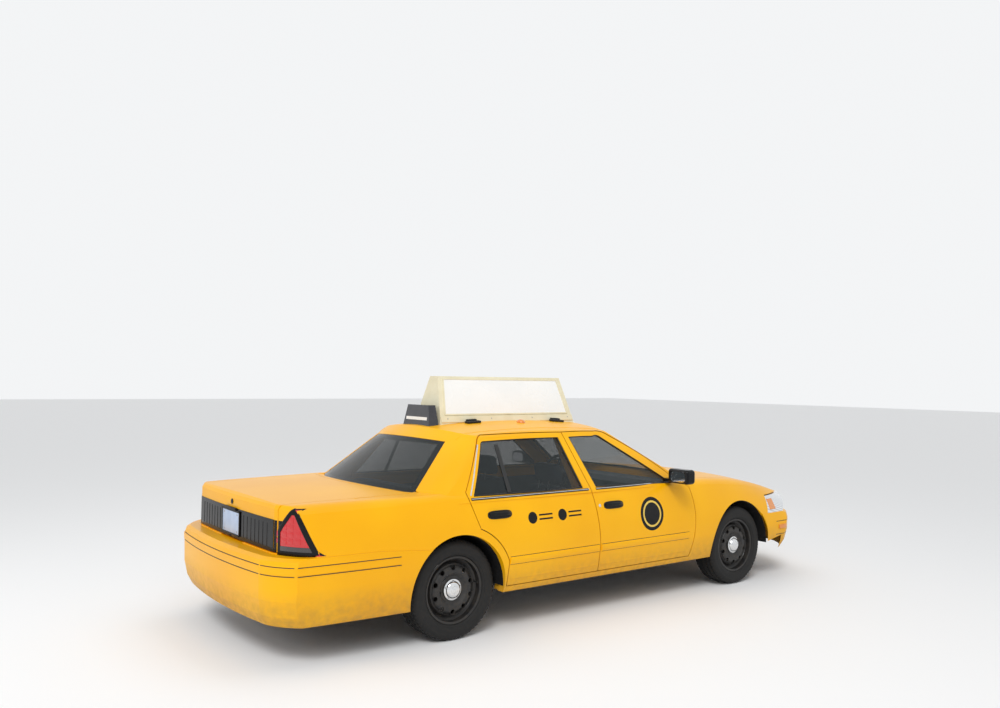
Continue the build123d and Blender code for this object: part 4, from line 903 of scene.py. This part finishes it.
glassTree = surfaceTree("windshield")
for n, (root, tip) in enumerate((((1.190, -0.300), (0.800, 0.250)), ((1.150, 0.380), (0.760, 0.780)))):
    arm = []
    for k in range(15):
        t = k / 14
        x, y = root[0] + (tip[0] - root[0]) * t * 0.30, root[1] + (tip[1] - root[1]) * t
        hit = hitFrom(glassTree, (x + 0.9, y, 1.9), (-0.55, 0, -0.75))
        if hit:
            arm.append((hit[0] + hit[1] * 0.010, hit[1]))
    if len(arm) > 3:
        addStrip(f"wiper_arm_{n}", arm, band(0.006, 0.005, 0.004, -0.002), blackPlastic, "body")
        addStrip(f"wiper_blade_{n}", [(p - q * 0.004, q) for p, q in arm[3:]],
            band(0.010, 0.004, 0.003, -0.004), sealRubber, "body")


# black print round the fixed panes and their rubber
def edgeLoop(node):
    # border edges of the pane's outer side: walks the sharp outline of the solid
    mesh = bmesh.new()
    mesh.from_mesh(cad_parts[node].data)
    bmesh.ops.remove_doubles(mesh, verts=mesh.verts, dist=1e-5)
    bmesh.ops.recalc_face_normals(mesh, faces=mesh.faces)
    outer = {f for f in mesh.faces if f.normal.z > 0.12 or f.normal.z > 0.05 and f.calc_area() > 0.002}
    border = {}
    for edge in mesh.edges:
        inside = [f for f in edge.link_faces if f in outer]
        if len(inside) == 1:
            a, b = edge.verts
            border.setdefault(a, []).append(b)
            border.setdefault(b, []).append(a)
    loops = []
    seen = set()
    for start in list(border):
        if start in seen or len(border[start]) != 2:
            continue
        loop = [start]
        seen.add(start)
        while True:
            ahead = [v for v in border[loop[-1]] if v not in seen]
            if not ahead:
                break
            loop.append(ahead[0])
            seen.add(ahead[0])
        loops.append([v.co.copy() for v in loop])
    mesh.free()
    if not loops:
        return []
    return max(loops, key=lambda l: sum((a - b).length for a, b in zip(l, l[1:] + l[:1])))


def evenLoop(loop, step):
    out = []
    for a, b in zip(loop, loop[1:] + loop[:1]):
        count = max(int((b - a).length / step), 1)
        out += [a.lerp(b, k / count) for k in range(count)]
    thin = [out[0]]
    for point in out[1:]:
        if (point - thin[-1]).length > step * 0.6:
            thin.append(point)
    return thin


paneLook = {"windshield": 0.040, "rear_window": 0.055}
for node, width in paneLook.items():
    tree = surfaceTree(node)
    loop = evenLoop(edgeLoop(node), 0.04)
    middle = sum(loop, Vector()) / len(loop)
    out = []
    for point in loop:
        inward = (middle - point).normalized()
        place, normal, _, _ = tree.find_nearest(point + inward * width * 0.5)
        if normal.z < 0:
            normal = -normal
        out.append((place, normal))
    w = width / 2
    addStrip(node + "_border", out, band(w, w, 0.0009, 0.0002), glossBlack, "body",
        closed=True)
print("nose and panes dressed")

# roof sign, medallion box, marker lamp
signLook = {"rear": -1.0545, "front": 0.3455, "baseHalf": 0.197, "topHalf": 0.053, "topZ": 1.826,
    "baseZ": 1.452, "endRun": 0.057}


def signPoint(u, z, way, lift=0.0):
    # u from 0 at the rear to 1 at the front, on the sloping side of the sign
    t = (z - signLook["baseZ"]) / (signLook["topZ"] - signLook["baseZ"])
    half = signLook["baseHalf"] + (signLook["topHalf"] - signLook["baseHalf"]) * t
    x0 = signLook["rear"] + signLook["endRun"] * t
    x1 = signLook["front"] - signLook["endRun"] * t
    slope = (signLook["baseHalf"] - signLook["topHalf"]) / (signLook["topZ"] - signLook["baseZ"])
    normal = Vector((0, way, slope)).normalized()
    return Vector((x0 + (x1 - x0) * u, way * half, z)) + normal * lift, normal


signTree = surfaceTree("roof_sign")
for hand, way in (("right", -1), ("left", 1)):
    corners = [(0.035, 1.522), (0.965, 1.522), (0.962, 1.805), (0.038, 1.805)]
    panel = []
    for u, z in corners:
        hit = sideHit(signTree, signPoint(u, z, way)[0].x, z, way)
        panel.append(hit[0] + hit[1] * 0.0022 if hit else signPoint(u, z, way, 0.002)[0])
    normal = signPoint(0.5, 1.6, way)[1]
    vertices = panel + [p - normal * 0.0020 for p in panel]
    faces = [[0, 1, 2, 3], [4, 7, 6, 5]] + [[k, 4 + k, 4 + (k + 1) % 4, (k + 1) % 4] for k in range(4)]
    addPiece(f"sign_panel_{hand}", meshFrom(vertices, faces), signPanel, "body")
    rails = []
    for a, b in zip(panel, panel[1:] + panel[:1]):
        line = [(a.lerp(b, k / 6), normal) for k in range(7)]
        rails.append(sweepProfile(line, band(0.006, 0.006, 0.0035, -0.002)))
    addPiece(f"sign_rails_{hand}", joinMeshes(rails), signCream, "body")
    # skirt with its screws
    line = []
    for k in range(25):
        x = signLook["rear"] + 0.012 + (signLook["front"] - signLook["rear"] - 0.024) * k / 24
        hit = sideHit(signTree, x, 1.482, way)
        if hit:
            line.append(hit)
    addStrip(f"sign_skirt_{hand}", line, [(-0.026, -0.001), (-0.026, 0.008), (0.022, 0.008),
        (0.026, 0.003), (0.026, -0.001)], signCream, "body")
    screws = []
    for x in (-0.98, -0.55, -0.12, 0.28):
        hit = sideHit(signTree, x, 1.487, way)
        if hit:
            screws.append(turnProfile([(0.008, 0.0), (0.008, 0.005), (0.0105, 0.004), (0.011, 0.0)],
                hit[0], hit[1], 14))
    addPiece(f"sign_screws_{hand}", joinMeshes(screws), steelBright, "body")

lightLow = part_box("roof_light")[0]
rearFace = []
lightTree = surfaceTree("roof_light")
for k in range(21):
    y = -0.150 + 0.300 * k / 20
    hit = hitFrom(lightTree, (-3.0, y, lightLow[2] + 0.055), (1, 0, 0))
    if hit:
        rearFace.append(hit)
addStrip("medallion_strip", rearFace, band(0.012, 0.012, 0.002, -0.001), signPanel, "body")
roofTree = surfaceTree("roof_panel", "side_frames")


def onRoof(x, y):
    return hitFrom(roofTree, (x, y, 2.4), (0, 0, -1))


markerSpot, markerNormal = onRoof(-0.360, -0.330)
marker = turnProfile([(-0.001, 0.0), (-0.001, 0.036), (0.006, 0.036), (0.016, 0.030), (0.024, 0.018),
    (0.027, 0.0)], markerSpot, markerNormal, 32)
addPiece("roof_marker", joinMeshes([marker]), lampAmber, "body")
clips = []
for x in (-0.78, 0.10):
    for side in (-1, 1):
        spot, normal = onRoof(x, side * 0.245)
        clips.append(roundBlock(spot + normal * 0.009, (0.130, 0.050, 0.018), 0.005,
            facing(normal, (0, 1, 0))))
        spot, normal = onRoof(x, side * 0.222)
        clips.append(roundBlock(spot + normal * 0.018, (0.090, 0.030, 0.022), 0.004,
            facing(normal, (0, 1, 0))))
addPiece("sign_brackets", joinMeshes(clips), blackPlastic, "body")

# drip strips where the roof meets the sides
for hand, way in (("right", -1), ("left", 1)):
    line = []
    for k in range(40):
        hit = onRoof(-1.16 + 1.62 * k / 39, way * 0.5535)
        if hit:
            line.append(hit)
    addStrip(f"drip_strip_{hand}", line, band(0.006, 0.004, 0.0022, -0.001), taxiPaint, "body")
print("roof dressed")

# cabin: seats, dashboard, carpets, door cards
seatLook = {"crown": 0.026, "channelDepth": 0.007}


def cushionMesh(low, high, lean=0.0, face="top", channels=5, notch=None):
    # a crowned pad: a rounded box whose faces swell between pulled-in seams, leaning by lean at its top
    size = Vector(high) - Vector(low)
    centre = (Vector(low) + Vector(high)) / 2
    shape = bmesh.new()
    bmesh.ops.create_cube(shape, size=2.0)
    bmesh.ops.subdivide_edges(shape, edges=shape.edges[:], cuts=23, use_grid_fill=True)
    for vert in shape.verts:
        p = vert.co.copy()
        # superellipsoid rounding keeps the box nearly full
        power = 7.0
        length = (abs(p.x) ** power + abs(p.y) ** power + abs(p.z) ** power) ** (1 / power)
        q = p / length
        crown = 1.0 - seatLook["crown"] * (p.x ** 2 + p.y ** 2 + p.z ** 2 - 1.0) / 2
        q *= crown
        spot = Vector((q.x * size.x / 2, q.y * size.y / 2, q.z * size.z / 2))
        groove = 0.0
        across = q.y * channels / 2
        distance = abs(across - round(across)) * 2 / channels * size.y / 2
        if abs(q.y) < 0.86:
            groove = seatLook["channelDepth"] * math.exp(-(distance / 0.009) ** 2)
        if face == "top" and p.z > 0.98:
            spot.z -= groove
        if face == "front" and p.x > 0.98:
            spot.x -= groove
        t = (spot.z / size.z) + 0.5
        spot.x += lean * t
        vert.co = centre + spot
    if notch:
        for vert in shape.verts:
            limit = notch(vert.co)
            vert.co.y = max(min(vert.co.y, limit), -limit)
    mesh = bpy.data.meshes.new("cushion")
    shape.to_mesh(mesh)
    shape.free()
    return mesh


def makeSeatSet():
    for hand, y in (("right", -0.430), ("left", 0.430)):
        base = joinMeshes([roundBlock((0.238, y, 0.402), (0.42, 0.40, 0.125), 0.012),
            roundBlock((0.238, y - 0.15, 0.350), (0.50, 0.035, 0.028), 0.006),
            roundBlock((0.238, y + 0.15, 0.350), (0.50, 0.035, 0.028), 0.006)])
        addPiece(f"front_seat_base_{hand}", base, blackPlastic, "body")
        pads = (
            ("cushion", (-0.030, y - 0.258, 0.468), (0.506, y + 0.258, 0.632), 0.0, "top"),
            ("back", (-0.050, y - 0.238, 0.638), (0.056, y + 0.238, 0.948), -0.150, "front"),
            ("headrest", (-0.180, y - 0.128, 0.962), (-0.084, y + 0.128, 1.128), -0.030, "front"),
        )
        for label, low, high, lean, face in pads:
            pad = addPiece(f"front_seat_{label}_{hand}",
                cushionMesh(low, high, lean, face, 3 if label == "headrest" else 5), seatVinyl, "body")
        posts = [turnProfile([(0, 0.0), (0, 0.006), (0.07, 0.006), (0.07, 0.0)],
            (-0.196, y + s * 0.06, 0.915), (0.1, 0, 1), 12) for s in (-1, 1)]
        addPiece(f"headrest_posts_{hand}", joinMeshes(posts), steelBright, "body")
    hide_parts("front_seats")

    def wheelhouse(point):
        away = math.hypot(point.x - car["rearAxleX"], point.z - car["axleZ"])
        return 0.550 if away < 0.400 else 0.726
    bench = addPiece("rear_seat_cushion", cushionMesh((-1.200, -0.726, 0.552), (-0.724, 0.726, 0.708),
        0.0, "top", 11, wheelhouse), seatVinyl, "body")
    back = addPiece("rear_seat_back", cushionMesh((-1.220, -0.726, 0.712), (-1.094, 0.726, 0.978), -0.150,
        "front", 11, wheelhouse), seatVinyl, "body")
    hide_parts("rear_seat")


makeSeatSet()

dashTree = surfaceTree("dashboard")


def dashHit(y, z):
    return hitFrom(dashTree, (0.0, y, z), (1, 0, 0))


cluster = []
spot, normal = dashHit(0.380, 0.860)
cluster.append(roundBlock(spot + normal * 0.012, (0.34, 0.115, 0.024), 0.010, facing(normal)))
addPiece("instrument_hood", joinMeshes(cluster), trimGrey, "body")
dials = [turnProfile([(0.024, 0.0), (0.024, r), (0.029, r), (0.029, r - 0.004), (0.026, r - 0.005),
    (0.026, 0.0)], spot + Vector((0, dy, 0)), normal, 36)
    for dy, r in ((-0.105, 0.030), (0.0, 0.046), (0.105, 0.030))]
addPiece("dials", joinMeshes(dials), glossBlack, "body")
vents = []
for y in (-0.70, -0.14, 0.14, 0.70):
    spot, normal = dashHit(y, 0.870)
    for n in range(5):
        vents.append(roundBlock(spot + normal * 0.004 + Vector((0, 0, 0.026 - n * 0.013)),
            (0.110, 0.005, 0.010), 0.0015, facing(normal)))
addPiece("dash_vents", joinMeshes(vents), blackPlastic, "body")
spot, normal = dashHit(0.0, 0.760)
radio = [roundBlock(spot + normal * 0.008, (0.21, 0.10, 0.016), 0.004, facing(normal)),
    roundBlock(spot + normal * 0.020 + Vector((0, 0, 0.018)), (0.14, 0.030, 0.004), 0.001,
        facing(normal))]
addPiece("radio", joinMeshes(radio), glossBlack, "body")
spot, normal = dashHit(-0.45, 0.745)
gloveLid = roundBlock(spot + normal * 0.004, (0.40, 0.15, 0.010), 0.004, facing(normal))
gloveCatch = spot + normal * 0.012 + Vector((0, 0, 0.055))
gloveLatch = roundBlock(gloveCatch, (0.07, 0.022, 0.012), 0.003, facing(normal))
addPiece("glove_box", joinMeshes([gloveLid, gloveLatch]), trimGrey, "body")
print("cabin parts done")

floorTree = surfaceTree("floor_pan")


def slabFaces(columns, rows):
    # faces of a grid of points given twice, as two skins, and the rim that joins them
    faces = []
    width = rows + 1
    count = (columns + 1) * width
    for i in range(columns):
        for j in range(rows):
            a = i * width + j
            faces.append([a, a + 1, a + width + 1, a + width])
            faces.append([count + a, count + a + width, count + a + width + 1, count + a + 1])
    edge = list(range(width))
    edge += [i * width + rows for i in range(1, columns + 1)]
    edge += [columns * width + j for j in range(rows - 1, -1, -1)]
    edge += [i * width for i in range(columns - 1, 0, -1)]
    for a, b in zip(edge, edge[1:] + edge[:1]):
        faces.append([a, b, count + b, count + a])
    return faces


def floorSheet(name, x0, x1, y0, y1, lift, finish, columns=16, rows=16, thick=0.008):
    top, low = [], []
    for i in range(columns + 1):
        for j in range(rows + 1):
            x, y = x0 + (x1 - x0) * i / columns, y0 + (y1 - y0) * j / rows
            hit = hitFrom(floorTree, (x, y, 0.9), (0, 0, -1))
            z = hit[0].z if hit else 0.334
            top.append(Vector((x, y, z + lift + thick)))
            low.append(Vector((x, y, z + lift)))
    return addPiece(name, meshFrom(top + low, slabFaces(columns, rows)), finish, "body")


for hand, way in (("right", -1), ("left", 1)):
    a, b = sorted((way * 0.180, way * 0.800))
    floorSheet(f"carpet_front_{hand}", 0.52, 0.98, a, b, 0.001, carpetDark)
    floorSheet(f"carpet_rear_{hand}", -0.66, -0.08, a, b, 0.001, carpetDark)
floorSheet("trunk_mat", -2.46, -1.50, -0.52, 0.52, 0.001, carpetDark, 20, 12)


def dressInside(end, hand, way):
    # trim card on the door's inner face with armrest, pull and opener
    body = f"{end}_door_{hand}"
    tree = surfaceTree(body)
    x0, x1 = (-0.80, -0.17) if end == "rear" else (-0.02, 0.86)
    z0, z1 = 0.40, 0.86
    columns, rows = 22, 14
    inner, outer = [], []
    for i in range(columns + 1):
        for j in range(rows + 1):
            x, z = x0 + (x1 - x0) * i / columns, z0 + (z1 - z0) * j / rows
            hit = hitFrom(tree, (x, 0.0, z), (0, way, 0))
            if hit is None or abs(hit[0].y) < 0.80:
                hit = (Vector((x, way * 0.905, z)), Vector((0, -way, 0)))
            relief = 0.004 + 0.004 * (0.25 < j / rows < 0.8) + 0.0015 * math.sin(i * 1.9) * (
                j / rows < 0.2)
            inner.append(hit[0] + hit[1] * (relief + 0.003))
            outer.append(hit[0] + hit[1] * 0.0004)
    card = meshFrom(inner + outer, slabFaces(columns, rows))
    addPiece(body + "_card", card, trimGrey, body)
    xm = (x0 + x1) / 2
    hit = hitFrom(tree, (xm, 0.0, 0.66), (0, way, 0))
    base, normal = hit
    rest = roundBlock(base + normal * 0.030, (0.34, 0.050, 0.052), 0.012, facing(normal))
    pull = roundBlock(base + normal * 0.046 + Vector((0.12, 0, 0.012)), (0.10, 0.020, 0.014), 0.004,
        facing(normal))
    addPiece(body + "_armrest", joinMeshes([rest, pull]), trimGrey, body)
    opener = roundBlock(base + normal * 0.016 + Vector((0.16 if end == "front" else 0.14, 0, 0.115)),
        (0.085, 0.030, 0.014), 0.004, facing(normal))
    addPiece(body + "_opener", joinMeshes([opener]), chromeTrim, body)


for end in ("front", "rear"):
    for hand, way in (("right", -1), ("left", 1)):
        dressInside(end, hand, way)
print("door cards and carpets done")

# engine bay
engineLow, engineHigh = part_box("engine")
ex = (engineLow[0] + engineHigh[0]) / 2
topZ = engineHigh[2]
covers = []
for side in (-1, 1):
    covers.append(roundBlock((ex - 0.02, side * 0.165, topZ + 0.016), (0.50, 0.110, 0.032), 0.012))
    for n in range(5):
        covers.append(roundBlock((ex - 0.20 + n * 0.09, side * 0.165, topZ + 0.034),
            (0.012, 0.090, 0.008), 0.002))
addPiece("rocker_covers", joinMeshes(covers), castAlloy, "body")
intake = [roundBlock((ex - 0.04, 0.0, topZ + 0.024), (0.40, 0.150, 0.048), 0.016)]
for n in range(4):
    for side in (-1, 1):
        intake.append(roundBlock((ex - 0.17 + n * 0.09, side * 0.090, topZ + 0.012),
            (0.040, 0.070, 0.024), 0.010))
addPiece("intake_plenum", joinMeshes(intake), castAlloy, "body")
pulleys = []
for y, z, r in ((0.0, 0.42, 0.085), (0.15, 0.60, 0.050), (-0.15, 0.62, 0.055), (0.0, 0.66, 0.060)):
    pulleys.append(turnProfile([(0, 0.0), (0, r), (0.006, r), (0.009, r - 0.008), (0.016, r - 0.008),
        (0.019, r), (0.026, r), (0.026, 0.3 * r), (0.034, 0.2 * r), (0.034, 0.0)],
        (engineHigh[0] - 0.001, y, z), (1, 0, 0), 32))
addPiece("pulleys", joinMeshes(pulleys), steelBright, "body")
print("engine dressed")

# floor, lights and camera
groundMesh = meshFrom([(-60, -60, 0), (60, -60, 0), (60, 60, 0), (-60, 60, 0)], [[0, 1, 2, 3]])
groundMaterial, _, groundShader, _ = startMaterial("paleFloor")
groundShader.inputs["Base Color"].default_value = (0.93, 0.93, 0.93, 1)
groundShader.inputs["Roughness"].default_value = 0.85
groundMesh.materials.append(groundMaterial)
ground = bpy.data.objects.new("ground", groundMesh)
bpy.context.collection.objects.link(ground)

scene = bpy.context.scene
world = bpy.data.worlds.new("studio")
scene.world = world
world.use_nodes = True
backdrop = world.node_tree.nodes["Background"]
backdrop.inputs["Color"].default_value = (0.96, 0.98, 1.0, 1)
backdrop.inputs["Strength"].default_value = 0.46
# the camera, metal and glass see a paler backdrop than the one that lights the car
seen = world.node_tree.nodes.new("ShaderNodeBackground")
seen.inputs["Color"].default_value = (0.90, 0.91, 0.92, 1)
seen.inputs["Strength"].default_value = 1.0
rays = world.node_tree.nodes.new("ShaderNodeLightPath")
choose = world.node_tree.nodes.new("ShaderNodeMixShader")
anyView = rays.outputs["Is Camera Ray"]
for kind in ("Is Glossy Ray", "Is Transmission Ray"):
    either = world.node_tree.nodes.new("ShaderNodeMath")
    either.operation = "MAXIMUM"
    world.node_tree.links.new(anyView, either.inputs[0])
    world.node_tree.links.new(rays.outputs[kind], either.inputs[1])
    anyView = either.outputs["Value"]
world.node_tree.links.new(anyView, choose.inputs["Fac"])
world.node_tree.links.new(backdrop.outputs["Background"], choose.inputs[1])
world.node_tree.links.new(seen.outputs["Background"], choose.inputs[2])
world.node_tree.links.new(choose.outputs["Shader"],
    world.node_tree.nodes["World Output"].inputs["Surface"])


def areaLight(name, place, target, size, power):
    data = bpy.data.lights.new(name, "AREA")
    data.shape = "RECTANGLE"
    data.size, data.size_y = size
    data.energy = power
    lamp = bpy.data.objects.new(name, data)
    lamp.location = place
    lamp.visible_glossy = False  # no white lamp shapes mirrored in the windows
    lamp.rotation_euler = (Vector(target) - Vector(place)).to_track_quat("-Z", "Y").to_euler()
    bpy.context.collection.objects.link(lamp)
    return lamp


sunData = bpy.data.lights.new("sun", "SUN")
sunData.energy = 1.25
sunData.angle = 0.35
sun = bpy.data.objects.new("sun", sunData)
sun.rotation_euler = (math.radians(38), math.radians(-24), math.radians(-20))
bpy.context.collection.objects.link(sun)
areaLight("key", (-4.5, -6.5, 5.0), (-0.3, 0, 0.7), (5.0, 2.5), 120)
areaLight("rearFill", (-8.0, 1.5, 3.2), (-2.5, 0, 0.8), (3.5, 2.0), 70)
areaLight("topSoft", (0.5, 0.0, 6.5), (0, 0, 1.0), (7.0, 3.0), 90)

yaw, pitch, roll = math.radians(37.51), math.radians(1.63), math.radians(0.84)
lookDirection = Vector((math.sin(yaw) * math.cos(pitch), math.cos(yaw) * math.cos(pitch),
    math.sin(pitch)))
levelRight = Vector((math.cos(yaw), -math.sin(yaw), 0))
levelUp = levelRight.cross(lookDirection)
cameraRight = levelRight * math.cos(roll) + levelUp * math.sin(roll)
cameraUp = levelUp * math.cos(roll) - levelRight * math.sin(roll)
cameraData = bpy.data.cameras.new("camera")
cameraData.lens = 31.777
cameraData.sensor_width = 36
camera = bpy.data.objects.new("camera", cameraData)
camera.matrix_world = Matrix((
    (cameraRight.x, cameraUp.x, -lookDirection.x, -4.8955),
    (cameraRight.y, cameraUp.y, -lookDirection.y, -5.947),
    (cameraRight.z, cameraUp.z, -lookDirection.z, 1.809),
    (0, 0, 0, 1)))
bpy.context.collection.objects.link(camera)
scene.camera = camera
scene.view_settings.view_transform = "Standard"
print("light and camera set")
